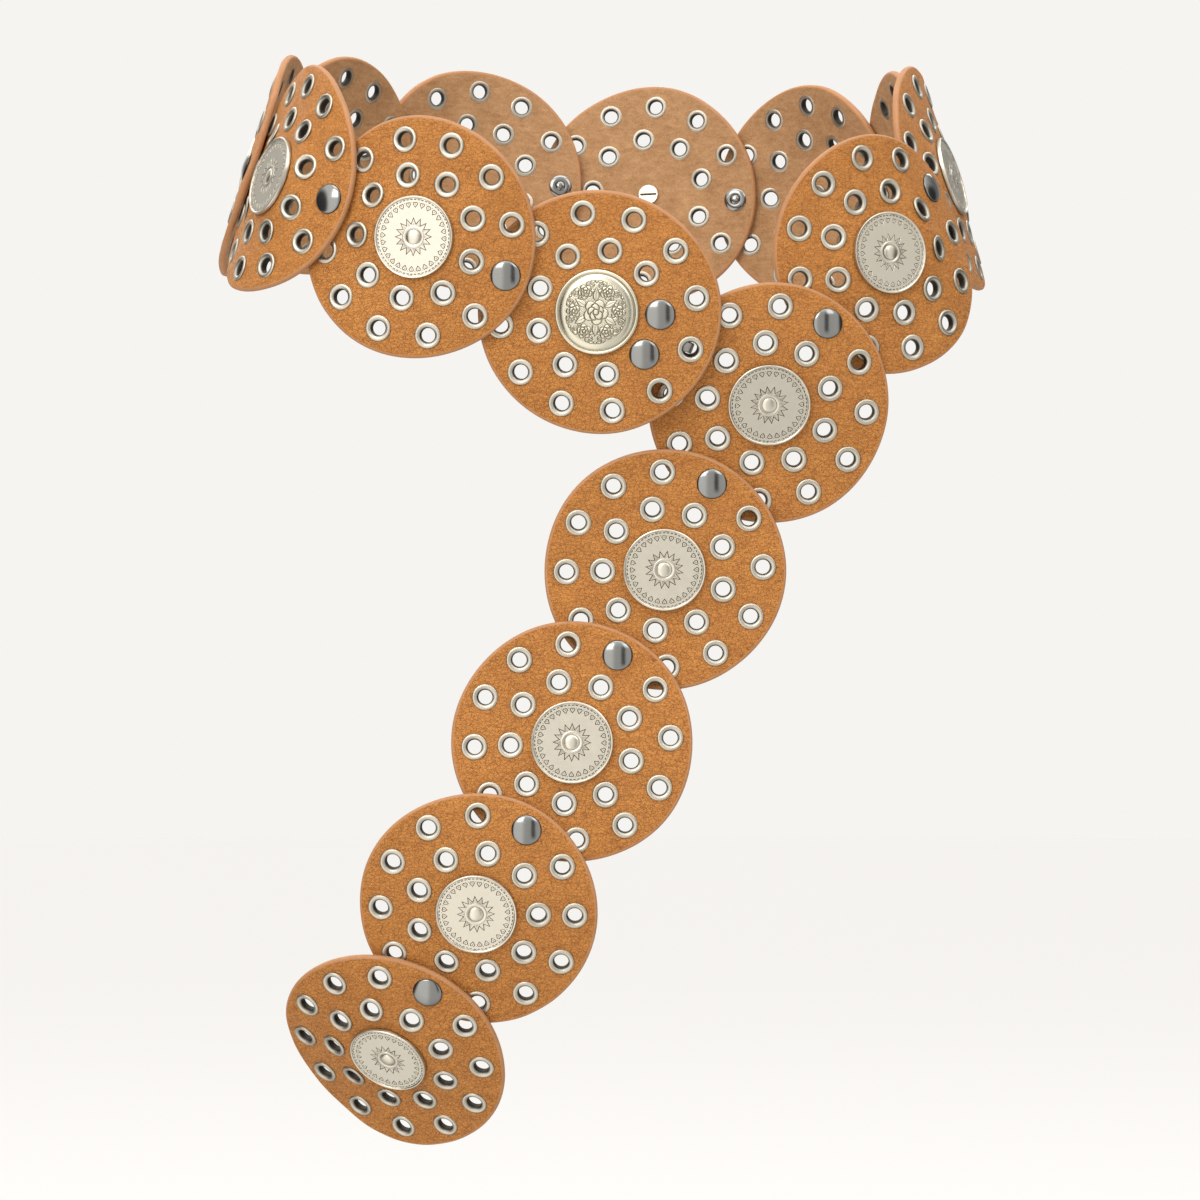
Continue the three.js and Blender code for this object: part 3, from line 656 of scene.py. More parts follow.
def merge_doubles(mesh):
    working = bmesh.new()
    working.from_mesh(mesh)
    bmesh.ops.remove_doubles(working, verts=working.verts, dist=MERGE_DISTANCE)
    bmesh.ops.recalc_face_normals(working, faces=working.faces)
    working.to_mesh(mesh)
    working.free()


def triangles_in(made):
    return sum(len(polygon.vertices) - 2 for polygon in made.data.polygons)


print("Points closer than", MERGE_DISTANCE / MM, "mm become one")

# %% [markdown]
# ## Turned shapes
# Rivets, eyelets, rims and posts are all turned about an axis, as on a lathe. Each is drawn as half a
# section, in pairs of radius and height, and swept round. A section that ends on the axis closes by
# itself, and one that returns to its start makes a ring.


# %% Turn a section about Z
def turned_points(section, sides):
    section = np.asarray(section, float)
    angles = np.arange(sides) * 2 * math.pi / sides
    radius = section[:, 0:1]
    x = radius * np.cos(angles)
    y = radius * np.sin(angles)
    z = np.broadcast_to(section[:, 1:2], x.shape)
    return np.stack([x, y, z], axis=-1).reshape(-1, 3)


def turned_faces(rows, sides, ring=False):
    """Quads between the rows of a turned section. A ring joins its last row to its first."""
    faces = []
    for row in range(rows if ring else rows - 1):
        for side in range(sides):
            here = row * sides + side
            beside = row * sides + (side + 1) % sides
            faces.append((here, beside, (beside + sides) % (rows * sides), (here + sides) % (rows * sides)))
    return faces


def turn(skin, section, sides, frames, finish_index=0, tarnish=0.0, ring=False):
    """A turned part of a skin in each of the frames. A row on the axis is one merged point."""
    local = turned_points(section, sides)
    faces = turned_faces(len(section), sides, ring)
    values = np.broadcast_to(tarnish, len(section))
    for points in seated(local, frames):
        skin.add(points, faces, finish_index, np.repeat(values, sides))


print("A turned section of 4 rows and 8 sides has", len(turned_faces(4, 8)), "faces")

# %% [markdown]
# ## Flat sheets with holes and cuts
# A disc with twenty holes, or a field with engraved lines, has no neat grid. A constrained Delaunay
# triangulation takes scattered points and the lines that have to stay, and joins them into even
# triangles. Blender has one in mathutils. What falls inside a hole is dropped afterwards.


# %% Triangulate a flat pattern
SAME_PLACE = 1e-5


class Pattern:
    """Flat points and the lines that the triangles have to follow."""

    def __init__(self):
        self.points = []
        self.lines = []

    def line(self, points, closed=True):
        first = len(self.points)
        self.points.extend(points)
        count = len(points)
        self.lines.extend((first + i, first + (i + 1) % count) for i in range(count if closed else count - 1))
        return range(first, first + count)

    def triangles(self, keep):
        """The points and triangles. keep says for the middles of triangles which ones stay."""
        flat = [Vector((x * MM_PER_METRE, y * MM_PER_METRE)) for x, y in self.points]
        made = delaunay_2d_cdt(flat, self.lines, [], 0, SAME_PLACE)
        points = np.array([tuple(point) for point in made[0]]) / MM_PER_METRE
        faces = np.array(made[2])
        middles = points[faces].mean(axis=1)
        origins = [first[0] if first else -1 for first in made[3]]
        return points, [tuple(face) for face in faces[keep(middles)]], origins


def circle(radius, count, middle=(0.0, 0.0), start=0.0):
    angles = start + np.arange(count) * 2 * math.pi / count
    x = middle[0] + radius * np.cos(angles)
    y = middle[1] + radius * np.sin(angles)
    return np.stack([x, y], axis=1).tolist()


def everywhere(middles):
    return np.ones(len(middles), bool)


octagon = Pattern()
octagon.line(circle(MM, 8))
print("An octagon is joined into", len(octagon.triangles(everywhere)[1]), "triangles")

# %% [markdown]
# ## Where a disc is pierced
# Every disc has the same two rings of holes: twelve places near its edge and nine further in. Two
# opposite outer places take the joining rivets, and on the buckle disc two inner ones take the rivets of
# the hook plate. All the rest are lined with eyelets. Some discs are turned by half a step, as the
# maker's punch fell.


# %% Places of eyelets and rivets on a disc
EYELET_CUT = 3.85 * MM
SHANK_CUT = 2.4 * MM


def riveted_ends(name):
    ends = {"buckle_disc": [-OUTER_RING], "tip_disc": [OUTER_RING]}
    return ends.get(name, [-OUTER_RING, OUTER_RING])


def disc_places(name):
    """Eyelet places and plain holes of a disc, each as rows of along and across."""
    outer = np.array(circle(OUTER_RING, OUTER_COUNT))
    for end in riveted_ends(name):
        outer = outer[np.hypot(outer[:, 0] - end, outer[:, 1]) > MM]
    turned_on = math.pi / INNER_COUNT if name in HALF_STEP_ON else 0.0
    inner = np.array(circle(INNER_RING, INNER_COUNT, start=turned_on))
    plain = [(end, 0.0) for end in riveted_ends(name)] + [(0.0, 0.0)]
    if name == "buckle_disc":
        beside = np.abs(np.arctan2(inner[:, 1], inner[:, 0])) < 2 * HOOK_RIVET_ANGLE
        plain.extend(inner[beside].tolist())
        inner = inner[~beside]
    return np.concatenate([outer, inner]), np.array(plain)


print("Eyelets:", sum(len(disc_places(name)[0]) for name in discs))

# %% [markdown]
# ## The leather discs
# Three millimetres of leather has a presence that a thin sheet lacks: its edge is rounded over by
# burnishing, and each eyelet presses a shallow dimple round itself. So each disc is a real solid with a
# rounded rim, a grain side, a flesh side and holes cut through. Slow waves of up to two tenths of a
# millimetre keep its face from looking like a machined plate, and its outline strays a little further
# from a true circle, as a hand-held knife does.

# %% The cut outline of a disc
EDGE_ROUND = 1.2 * MM
OUTLINE_POINTS = 120
CUT_WANDER = 0.4 * MM


def hand_cut(phase):
    """The outline inside the rounding, a few tenths of a millimetre off a true circle."""
    angles = np.arange(OUTLINE_POINTS) * math.tau / OUTLINE_POINTS
    off = 0.6 * np.sin(3 * angles + phase) + 0.4 * np.sin(5 * angles - 2 * phase) - 0.3
    radius = DISC_RADIUS - EDGE_ROUND + off * CUT_WANDER
    return np.column_stack([radius * np.cos(angles), radius * np.sin(angles)]).tolist()


reaches = np.linalg.norm(hand_cut(0.0), axis=1) + EDGE_ROUND
print("Radius of a cut disc in mm:", np.round([reaches.min() / MM, reaches.max() / MM], 2))

# %% The flat sheet, its dimples and waves
SHEET_STEP = 2.6 * MM
RIM_POINTS = 20
DIMPLE_REACH = 7.2 * MM
DIMPLE_EDGE = 5.3 * MM
DIMPLE_DEPTH = 0.22 * MM
WAVE_HEIGHT = 0.2 * MM


def sheet_pattern(eyelets, plain, phase):
    """The flat sheet of one disc, with all its holes and rings of points about each eyelet."""
    pattern = Pattern()
    outline = pattern.line(hand_cut(phase))
    rims = [pattern.line(circle(EYELET_CUT, RIM_POINTS, middle)) for middle in eyelets]
    rims += [pattern.line(circle(SHANK_CUT, RIM_POINTS // 2, middle)) for middle in plain]
    for middle in eyelets:
        for radius in (DIMPLE_EDGE, (DIMPLE_EDGE + DIMPLE_REACH) / 2, DIMPLE_REACH):
            pattern.points.extend(circle(radius, RIM_POINTS, middle, start=radius * MM_PER_METRE))
    holes = np.concatenate([eyelets, plain])
    clear = np.array([DIMPLE_REACH] * len(eyelets) + [SHANK_CUT] * len(plain)) + SHEET_STEP / 2
    for row in range(1, int((DISC_RADIUS - EDGE_ROUND) / SHEET_STEP)):
        for point in circle(row * SHEET_STEP, int(math.tau * row), start=row):
            away = np.hypot(holes[:, 0] - point[0], holes[:, 1] - point[1])
            if np.all(away > clear):
                pattern.points.append(point)
    return pattern, outline, rims


def sheet_relief(points, eyelets, phase):
    """How far the grain side dips at the eyelets and waves between them."""
    away = np.hypot(points[:, 0:1] - eyelets[:, 0], points[:, 1:2] - eyelets[:, 1]).min(axis=1)
    dimples = -DIMPLE_DEPTH * (1 - smoothstep(away, DIMPLE_EDGE, DIMPLE_REACH))
    x, y = points[:, 0] / MM, points[:, 1] / MM
    waves = np.sin(x * 0.19 + phase) * np.cos(y * 0.23 - phase) + 0.6 * np.sin((x - y) * 0.31 + 2 * phase)
    return dimples + WAVE_HEIGHT * waves * 0.6


print("Points drawn on the tip disc:", len(sheet_pattern(*disc_places("tip_disc"), 0.0)[0].points))

# %% Bend the leather and close its edge
PHASE_STEP = 1.7


def leather_disc(number, name):
    eyelets, plain = disc_places(name)
    phase = number * PHASE_STEP
    pattern, outline, rims = sheet_pattern(eyelets, plain, phase)
    holes = np.concatenate([eyelets, plain])
    cuts = np.array([EYELET_CUT] * len(eyelets) + [SHANK_CUT] * len(plain))

    def keep(middles):
        away = np.hypot(middles[:, 0:1] - holes[:, 0], middles[:, 1:2] - holes[:, 1])
        return np.all(away > cuts, axis=1)

    flat, faces, origins = pattern.triangles(keep)
    relief = sheet_relief(flat, eyelets, phase)
    skin = Skin()
    skin.add(disc_points(name, flat[:, 0], flat[:, 1], HALF_LEATHER + relief), faces, GRAIN)
    under = disc_points(name, flat[:, 0], flat[:, 1], -HALF_LEATHER + 0.5 * relief)
    skin.add(under, [face[::-1] for face in faces], FLESH)
    place = {origin: i for i, origin in enumerate(origins) if origin >= 0}
    below = len(flat)
    for rim in rims:
        loop = [place[i] for i in rim]
        walls = [(a, b, b + below, a + below) for a, b in zip(loop, loop[1:] + loop[:1])]
        skin.faces.extend(walls)
        skin.finishes.extend([EDGE] * len(walls))
    loop = [place[i] for i in outline]
    rounded_edge(skin, name, flat[loop], relief[loop])
    return skin.piece(name.replace("disc", "leather"), leather, [name], sharp=60)


def rounded_edge(skin, name, rim, relief):
    """The burnished edge, from the grain side over the rim to the flesh side."""
    outwards = rim / np.linalg.norm(rim, axis=1, keepdims=True)
    half = HALF_LEATHER - EDGE_ROUND
    turns = np.radians([0, 22, 45, 68, 90])
    rows = [(EDGE_ROUND * math.sin(t), half + EDGE_ROUND * math.cos(t), 1.0) for t in turns]
    rows += [(EDGE_ROUND * math.sin(t), -half - EDGE_ROUND * math.cos(t), 0.5) for t in turns[::-1]]
    points = []
    for out, height, share in rows:
        place = rim + outwards * out
        points.append(disc_points(name, place[:, 0], place[:, 1], height + relief * share))
    skin.add(np.concatenate(points), turned_faces(len(rows), len(rim)), EDGE)


leather_pieces = [leather_disc(number, name) for number, name in enumerate(discs)]
print("Leather pieces:", len(leather_pieces), "triangles in one:", triangles_in(leather_pieces[1]))

# %% [markdown]
# ## Eyelets
# An eyelet is a short tube with a rounded flange, set from the front and rolled over a small ring on
# the flesh side. It is turned from one closed section. All the eyelets of a disc are joined into one
# mesh, because they move together and a light scene has few pieces.

# %% Eyelets
EYELET_SIDES = 24
EYELET_SECTION = np.array([
    (3.0, 0.2), (3.1, 0.9), (3.36, 1.36), (3.62, 1.6), (4.1, 1.84), (4.6, 1.98), (5.05, 1.9), (5.38, 1.66),
    (5.5, 1.3), (5.2, 1.2), (3.75, 1.2), (3.75, -1.5), (4.8, -1.55), (4.95, -1.72), (4.6, -1.92),
    (3.9, -1.94), (3.25, -1.75), (3.0, -1.4),
]) * MM
# Painted shade: these values darken the inside of the barrel, the underside of the flange's edge and the back
# ring, where shade falls.
EYELET_PAINTED_SHADE = [0.7, 0.65, 0.4, 0.1, 0, 0, 0, 0.1, 0.5, 0.6, 0.6, 0.6, 0.4, 0.1, 0.1, 0.2, 0.6, 0.8]


def eyelets_of(name):
    skin = Skin()
    places_here = disc_places(name)[0]
    frames = disc_frames(name, places_here[:, 0], places_here[:, 1])
    turn(skin, EYELET_SECTION, EYELET_SIDES, frames, tarnish=EYELET_PAINTED_SHADE, ring=True)
    return skin.piece(name.replace("disc", "eyelets"), [nickel], sharp=50)


eyelet_pieces = [eyelets_of(name) for name in discs]
print("Eyelet pieces:", len(eyelet_pieces), "triangles in one:", triangles_in(eyelet_pieces[1]))

# %% [markdown]
# ## Engraved lines
# The plain conchos are struck with a zigzag star, a ring of small heart stamps and a broken line round
# the rim. A bump map would look flat from the side, so each line is a real V-shaped cut: its two edges
# lie in the field and its middle lies below. The triangulation follows all three lines. The cut's
# bottom carries full tarnish, which is what makes antique silver readable.


# %% Cut a line into a flat pattern
SHARPEST_MITRE = 0.45
PUNCH_SIDES = 6


class Engraving(Pattern):
    """A flat pattern whose points also have a depth."""

    def __init__(self):
        super().__init__()
        self.depths = {}

    def cut(self, points, width, depth, closed=False):
        points = np.asarray(points, float)
        if closed:
            ways = unit(np.roll(points, -1, axis=0) - points)
            before = np.roll(ways, 1, axis=0)
        else:
            ways = unit(np.diff(points, axis=0))
            before = np.concatenate([ways[:1], ways])
            ways = np.concatenate([ways, ways[-1:]])
        middle_way = unit(ways + before)
        side = np.stack([-middle_way[:, 1], middle_way[:, 0]], axis=1)
        mitre = 1 / np.maximum(np.abs(dot(middle_way, ways)), SHARPEST_MITRE)
        left = points + side * mitre * width / 2
        right = points - side * mitre * width / 2
        if closed:
            self.line(left.tolist())
            self.line(right.tolist())
            bottom = self.line(points.tolist())
        else:
            there = [points[0].tolist(), *left[1:-1].tolist()]
            back = [points[-1].tolist(), *right[-2:0:-1].tolist()]
            self.line(there + back)
            bottom = self.line(points[1:-1].tolist(), closed=False)
        self.depths.update({i: depth for i in bottom})

    def punch(self, middle, radius, depth):
        self.line(circle(radius, PUNCH_SIDES, middle))
        self.depths[len(self.points)] = depth
        self.points.append(list(middle))

    def sheet(self, keep):
        points, faces, origins = self.triangles(keep)
        depth = np.array([self.depths.get(origin, 0.0) for origin in origins])
        return points, faces, depth


short_cut = Engraving()
short_cut.cut([(0.0, 0.0), (MM, 0.0), (2 * MM, 0.0)], MM, MM)
print("A cut through 3 places is drawn with", len(short_cut.points), "points")

# %% [markdown]
# ## Conchos
# A concho is a stout silver button with a narrow raised rim. Its post is a screw: it goes through the
# middle of the leather and ends in a flat slotted head on the flesh side. The boss at the centre, a
# small dome in a raised ring, catches one highlight, which tells the eye that this is polished metal.

# %% The plain conchos
FIELD_RADIUS = 15.9 * MM
FIELD_HEIGHT = 1.5 * MM
BOSS_RADIUS = 4.75 * MM
FIELD_SIDES = 96
BOSS_SIDES = 48
STAR_POINTS = 16
STAMP_COUNT = 28
DASH_COUNT = 60
STAR_TIP = 7.75 * MM
STAR_NOTCH = 5.25 * MM
DASH_RADIUS = 15.35 * MM
STAMP_RADIUS = 13.3 * MM
DOT_RADIUS = 14.2 * MM
CUT_WIDTH = 0.38 * MM
DASH_WIDTH = 0.42 * MM
STAMP_WIDTH = 0.34 * MM
CUT_DEPTH = 0.18 * MM
SEAT = HALF_LEATHER + 0.1 * MM
HEART = np.array([(0, -1.15), (0.55, -0.45), (0.92, 0.05), (0.86, 0.6), (0.42, 0.86), (0, 0.66),
                  (-0.42, 0.86), (-0.86, 0.6), (-0.92, 0.05), (-0.55, -0.45)])


def polar(radius, angle):
    return radius * math.cos(angle), radius * math.sin(angle)


def concho_engraving():
    engraving = Engraving()
    engraving.line(circle(FIELD_RADIUS, FIELD_SIDES))
    engraving.line(circle(BOSS_RADIUS, BOSS_SIDES))
    star = []
    for i in range(STAR_POINTS):
        star.append(polar(STAR_TIP, 2 * i * math.pi / STAR_POINTS))
        star.append(polar(STAR_NOTCH, (2 * i + 1) * math.pi / STAR_POINTS))
    engraving.cut(star, CUT_WIDTH, CUT_DEPTH, closed=True)
    for i in range(DASH_COUNT):
        angles = (i + np.array([0, 0.1, 0.6, 0.7])) * math.tau / DASH_COUNT
        engraving.cut([polar(DASH_RADIUS, angle) for angle in angles], DASH_WIDTH, 1.2 * CUT_DEPTH)
    for i in range(STAMP_COUNT):
        out = np.array(polar(1.0, (i + 0.5) * math.tau / STAMP_COUNT))
        side = np.array([-out[1], out[0]])
        middle = STAMP_RADIUS * out
        stamp = [middle + MM * (x * side + y * out) for x, y in HEART]
        engraving.cut(stamp, STAMP_WIDTH, CUT_DEPTH, closed=True)
        engraving.punch(middle + 0.1 * MM * out, 0.24 * MM, CUT_DEPTH)
        between = polar(DOT_RADIUS, i * math.tau / STAMP_COUNT)
        engraving.punch(between, 0.22 * MM, CUT_DEPTH)
    return engraving


def concho_field(middles):
    return np.hypot(middles[:, 0], middles[:, 1]) > BOSS_RADIUS * 0.995


field_points, field_faces, field_depth = concho_engraving().sheet(concho_field)
print("Engraved field: points", len(field_points), "triangles", len(field_faces))

# %% Sections of rim, boss and post
RIM_SECTION = [(15.9, 1.5), (16.05, 1.78), (16.3, 1.96), (16.6, 2.0), (16.85, 1.86), (17.0, 1.5),
               (17.0, 0.35), (16.8, 0.05), (16.4, 0.0), (2.0, 0.0), (2.0, -3.25)]
RIM_TARNISH = [0.45, 0.1, 0, 0, 0, 0, 0.15, 0.5, 0.6, 0.6, 0.6]
BOSS_SECTION = [(4.75, 1.5), (4.68, 1.6), (4.5, 1.69), (4.1, 1.72), (3.7, 1.67), (3.4, 1.56), (3.15, 1.48),
                (3.02, 1.54), (2.92, 1.7), (2.6, 1.9), (2.1, 2.07), (1.4, 2.19), (0.7, 2.25), (0, 2.26)]
BOSS_TARNISH = [0.35, 0.15, 0, 0, 0, 0.1, 0.4, 0.3, 0.05, 0, 0, 0, 0, 0]
HEAD_TOP = -3.25
HEAD_END = HEAD_TOP - 1.0
HEAD_SECTION = [(2.0, HEAD_TOP), (4.3, HEAD_TOP), (4.5, HEAD_TOP - 0.2), (4.5, HEAD_TOP - 0.75),
                (4.3, HEAD_END), (4.1, HEAD_END)]
SLOT_WIDTH = 1.1 * MM
SLOT_DEPTH = 0.55 * MM


def mm_section(section):
    return np.array(section) * MM


def post_head(skin, frames):
    """The slotted head of the screw, on the flesh side."""
    turn(skin, mm_section(HEAD_SECTION), FIELD_SIDES, frames, tarnish=0.1)
    slot = Engraving()
    slot.line(circle(4.1 * MM, FIELD_SIDES))
    slot.cut([(x * MM, 0.0) for x in (-3.9, -3.3, 0.0, 3.3, 3.9)], SLOT_WIDTH, SLOT_DEPTH)
    points, faces, depth = slot.sheet(everywhere)
    local = np.column_stack([points, HEAD_END * MM + depth])
    for placed in seated(local, frames):
        skin.add(placed, [face[::-1] for face in faces], tarnish=depth / SLOT_DEPTH * 0.8)


print("A concho with its post in mm:", RIM_SECTION[3][1] - HEAD_END)

# %% Put the plain conchos together
SPIN_STEP = 1.3


def concho_seat(name):
    origin, x_axis, y_axis, z_axis = disc_frames(name, 0.0, 0.0)
    return origin + z_axis * SEAT, x_axis, y_axis, z_axis


def spun(frames, angle):
    """The same seat turned in its plane, as no two conchos are screwed on alike."""
    origin, x_axis, y_axis, z_axis = frames
    turned_x = x_axis * math.cos(angle) + y_axis * math.sin(angle)
    return origin, turned_x, np.cross(z_axis, turned_x), z_axis


def plain_concho(number, name):
    skin = Skin()
    frames = spun(concho_seat(name), number * SPIN_STEP)
    local = np.column_stack([field_points, FIELD_HEIGHT - field_depth])
    for placed in seated(local, frames):
        skin.add(placed, field_faces, tarnish=field_depth / CUT_DEPTH)
    turn(skin, mm_section(RIM_SECTION), FIELD_SIDES, frames, tarnish=RIM_TARNISH)
    turn(skin, mm_section(BOSS_SECTION), BOSS_SIDES, frames, tarnish=BOSS_TARNISH)
    post_head(skin, frames)
    node = name.replace("disc", "concho")
    return skin.piece(node + "_silver", [silver], [node], sharp=25)


plain_names = [name for name in discs if name != "buckle_disc"]
concho_pieces = [plain_concho(number, name) for number, name in enumerate(plain_names)]
print("Plain conchos:", len(concho_pieces), "triangles in one:", triangles_in(concho_pieces[0]))

# %% [markdown]
# ## The buckle's concho
# The front disc carries a domed concho in champagne silver, with a rounded rim and a low relief. Struck
# relief is read by its outlines, where tarnish stays, more than by its height. So a small painter lays
# shapes over one another: every shape gives the distance inwards from its outline at each point, hides
# what lies below it, rises inside the outline and is tarnished along it. Petals, leaves, tendrils and
# berries are such shapes, and a rosette of roses is made of them. The ground between is stippled.

# %% Lay shapes over one another
RELIEF_RISE = 0.34
OUTLINE_WIDTH = 0.23


class Relief:
    """Height and tarnish of the ornament at places given in millimetres."""

    def __init__(self, x, y):
        self.x = x
        self.y = y
        self.height = 0.06 * np.sin(x * 7.1) * np.sin(y * 7.1)
        self.tarnish = 0.13 + 0.13 * np.sin(x * 7.1) * np.sin(y * 7.1)

    def lay(self, inside, rise=1.0, lines=0.0):
        """inside is the distance from the outline, positive within the shape."""
        covered = inside > -OUTLINE_WIDTH
        outline = np.clip(1 - np.abs(inside) / OUTLINE_WIDTH, 0, 1)
        height = RELIEF_RISE * rise * smoothstep(inside, 0, 0.55) - 0.1 * outline - 0.12 * lines
        self.height = np.where(covered, height, self.height)
        self.tarnish = np.where(covered, np.clip(0.8 * outline + 0.7 * lines, 0, 1), self.tarnish)

    def petal(self, middle, radius, rise=1.0):
        self.lay(radius - np.hypot(self.x - middle[0], self.y - middle[1]), rise)

    def leaf(self, root, angle, length, width):
        """A pointed leaf with a middle vein."""
        dx, dy = self.x - root[0], self.y - root[1]
        along = (dx * math.cos(angle) + dy * math.sin(angle)) / length
        across = np.abs(-dx * math.sin(angle) + dy * math.cos(angle))
        half = width * np.sin(math.pi * np.clip(along, 0, 1) ** 0.8)
        beyond = np.maximum(-along, along - 1) * length
        vein = np.clip(1 - across / 0.16, 0, 1) * ((along > 0.1) & (along < 0.8))
        self.lay(np.where(beyond > 0, -beyond - across, half - across), 0.85, vein)

    def tendril(self, middle, size, start, hand):
        """A stem that curls in on itself."""
        turns = np.linspace(0, 1, 50)
        angles = start + hand * turns * 2.3 * math.pi
        spiral = size * (1 - 0.8 * turns)
        away = np.hypot(self.x[:, None] - middle[0] - spiral * np.cos(angles),
                        self.y[:, None] - middle[1] - spiral * np.sin(angles))
        self.lay((0.36 - 0.1 * turns - away).max(axis=1), 0.8)


berry = Relief(np.zeros(1), np.zeros(1))
berry.petal((0, 0), 0.6)
print("Height of a berry in mm:", round(float(berry.height[0]), 2))


# %% Draw the rosette of roses
def rose(relief, middle, radius, start):
    """Two rings of five petals and a round heart."""
    for ring, size, turned in ((0.62, 0.44, 0.0), (0.34, 0.34, 0.63)):
        for i in range(5):
            dx, dy = polar(ring * radius, start + turned + i * math.tau / 5)
            relief.petal((middle[0] + dx, middle[1] + dy), size * radius)
    relief.petal(middle, 0.24 * radius, 1.3)


def ornament(x, y):
    relief = Relief(x, y)
    for i in range(6):
        angle = 0.35 + i * math.tau / 6
        gap = angle + math.pi / 6
        for hand in (-1, 1):
            relief.tendril(polar(11.2, gap + hand * 0.17), 1.6, gap - hand * 0.5, hand)
            relief.leaf(polar(7.4, gap), gap + hand * 1.05, 3.8, 1.0)
            relief.leaf(polar(11.4, angle + hand * 0.14), angle + hand * 1.25, 2.8, 0.75)
        relief.leaf(polar(4.4, gap), gap, 5.6, 1.35)
        relief.petal(polar(12.6, gap), 0.6)
        rose(relief, polar(9.3, angle), 2.9, angle)
    rose(relief, (0, 0), 5.0, 0.2)
    return relief.height, relief.tarnish


print("Height of the middle rose in mm:", round(float(ornament(np.zeros(1), np.zeros(1))[0][0]), 2))

# %% The buckle's concho
ORNAMENT_RADIUS = 13.4
DOME_EDGE = 15.75
DOME_LOW = 1.42
DOME_RISE = 2.2
DOME_SQUARENESS = 4.5
SHOULDER_ROWS = 12
RELIEF_STEP = 0.155
DOME_SIDES = 160
BUCKLE_RIM_SECTION = [(15.75, 1.42), (15.92, 1.42), (16.1, 1.62), (16.35, 1.84), (16.65, 1.93), (16.95, 1.89),
                      (17.2, 1.76), (17.4, 1.56), (17.5, 1.3), (17.5, 0.5), (17.35, 0.12), (17.0, 0.0),
                      (2.0, 0.0), (2.0, -3.25)]
BUCKLE_RIM_TARNISH = [0.2, 0.3, 0.05, 0, 0, 0, 0, 0, 0, 0.1, 0.4, 0.5, 0.5, 0.5]


def dome(away):
    return DOME_LOW + DOME_RISE * np.sqrt(1 - (away / DOME_EDGE) ** DOME_SQUARENESS)


def relief_sheet():
    """Even points over the ornament, joined into triangles."""
    pattern = Pattern()
    pattern.line(circle(ORNAMENT_RADIUS * MM, DOME_SIDES))
    rows = int(ORNAMENT_RADIUS / RELIEF_STEP / math.sqrt(0.75)) + 1
    for row in range(-rows, rows + 1):
        y = row * RELIEF_STEP * math.sqrt(0.75)
        reach = int(ORNAMENT_RADIUS / RELIEF_STEP) + 1
        x = (np.arange(-reach, reach + 1) + row % 2 / 2) * RELIEF_STEP
        x = x[np.hypot(x, y) < ORNAMENT_RADIUS - RELIEF_STEP / 2]
        pattern.points.extend((place * MM, y * MM) for place in x.tolist())
    return pattern.triangles(everywhere)


def buckle_concho():
    skin = Skin()
    frames = concho_seat("buckle_disc")
    flat, faces, _ = relief_sheet()
    x, y = flat[:, 0] / MM, flat[:, 1] / MM
    away = np.hypot(x, y)
    fading = 1 - smoothstep(away, ORNAMENT_RADIUS - 0.4, ORNAMENT_RADIUS - 0.05)
    height, tarnish = ornament(x, y)
    local = np.column_stack([x, y, dome(away) + height * fading])
    for placed in seated(local * MM, frames):
        skin.add(placed, faces, tarnish=tarnish * fading)
    shoulder = np.linspace(ORNAMENT_RADIUS, DOME_EDGE, SHOULDER_ROWS)
    section = np.concatenate([np.column_stack([shoulder, dome(shoulder)]), BUCKLE_RIM_SECTION[1:]]) * MM
    tarnish = [0.0] * (SHOULDER_ROWS - 1) + BUCKLE_RIM_TARNISH
    turn(skin, section, DOME_SIDES, frames, tarnish=tarnish)
    post_head(skin, frames)
    return skin.piece("buckle_concho_silver", [champagne], ["buckle_concho"], sharp=60)


buckle_concho_piece = buckle_concho()
print("Buckle concho triangles:", triangles_in(buckle_concho_piece))

# %% [markdown]
# ## Rivets
# A joining rivet is a low dome in front, pressed onto a shank that goes through both layers, and a
# small burr ring behind, over which the shank's end is peened. The dome is what shows. Its smooth
# curve mirrors the studio as dark and bright bands, so it gets many sides.

# %% Rivets
RIVET_SIDES = 56
CAP_SECTION = [(0, 1.9), (1.2, 1.85), (2.4, 1.69), (3.5, 1.46), (4.4, 1.19), (5.1, 0.94), (5.6, 0.7),
               (5.95, 0.46), (6.15, 0.24), (6.25, 0.08), (6.2, 0.0), (2.0, 0.0)]
BURR_SECTION = [(2.0, 0.0), (4.7, 0.0), (5.0, -0.15), (5.0, -0.5), (4.4, -0.95), (2.5, -1.05), (2.2, -0.95),
                (1.9, -1.35), (1.2, -1.62), (0.0, -1.7)]
# Painted shadow: the cap's values give its rim a thin dark outline where it meets the leather. The burr's
# values make it darker where it meets the leather and in its inner step.
CAP_PAINTED_SHADOW = [0, 0, 0, 0, 0, 0, 0, 0.15, 0.7, 1, 1, 1]
BURR_DARKENING = [0.5, 0.4, 0.1, 0, 0, 0.1, 0.5, 0.1, 0, 0]


def rivet(name, frames, top, bottom):
    skin = Skin()
    cap = mm_section(CAP_SECTION) + [0, top]
    burr = mm_section(BURR_SECTION) + [0, bottom]
    turn(skin, np.concatenate([cap, burr]), RIVET_SIDES, frames, tarnish=CAP_PAINTED_SHADOW + BURR_DARKENING)
    return skin.piece(name + "_metal", [gunmetal], [name], sharp=40)


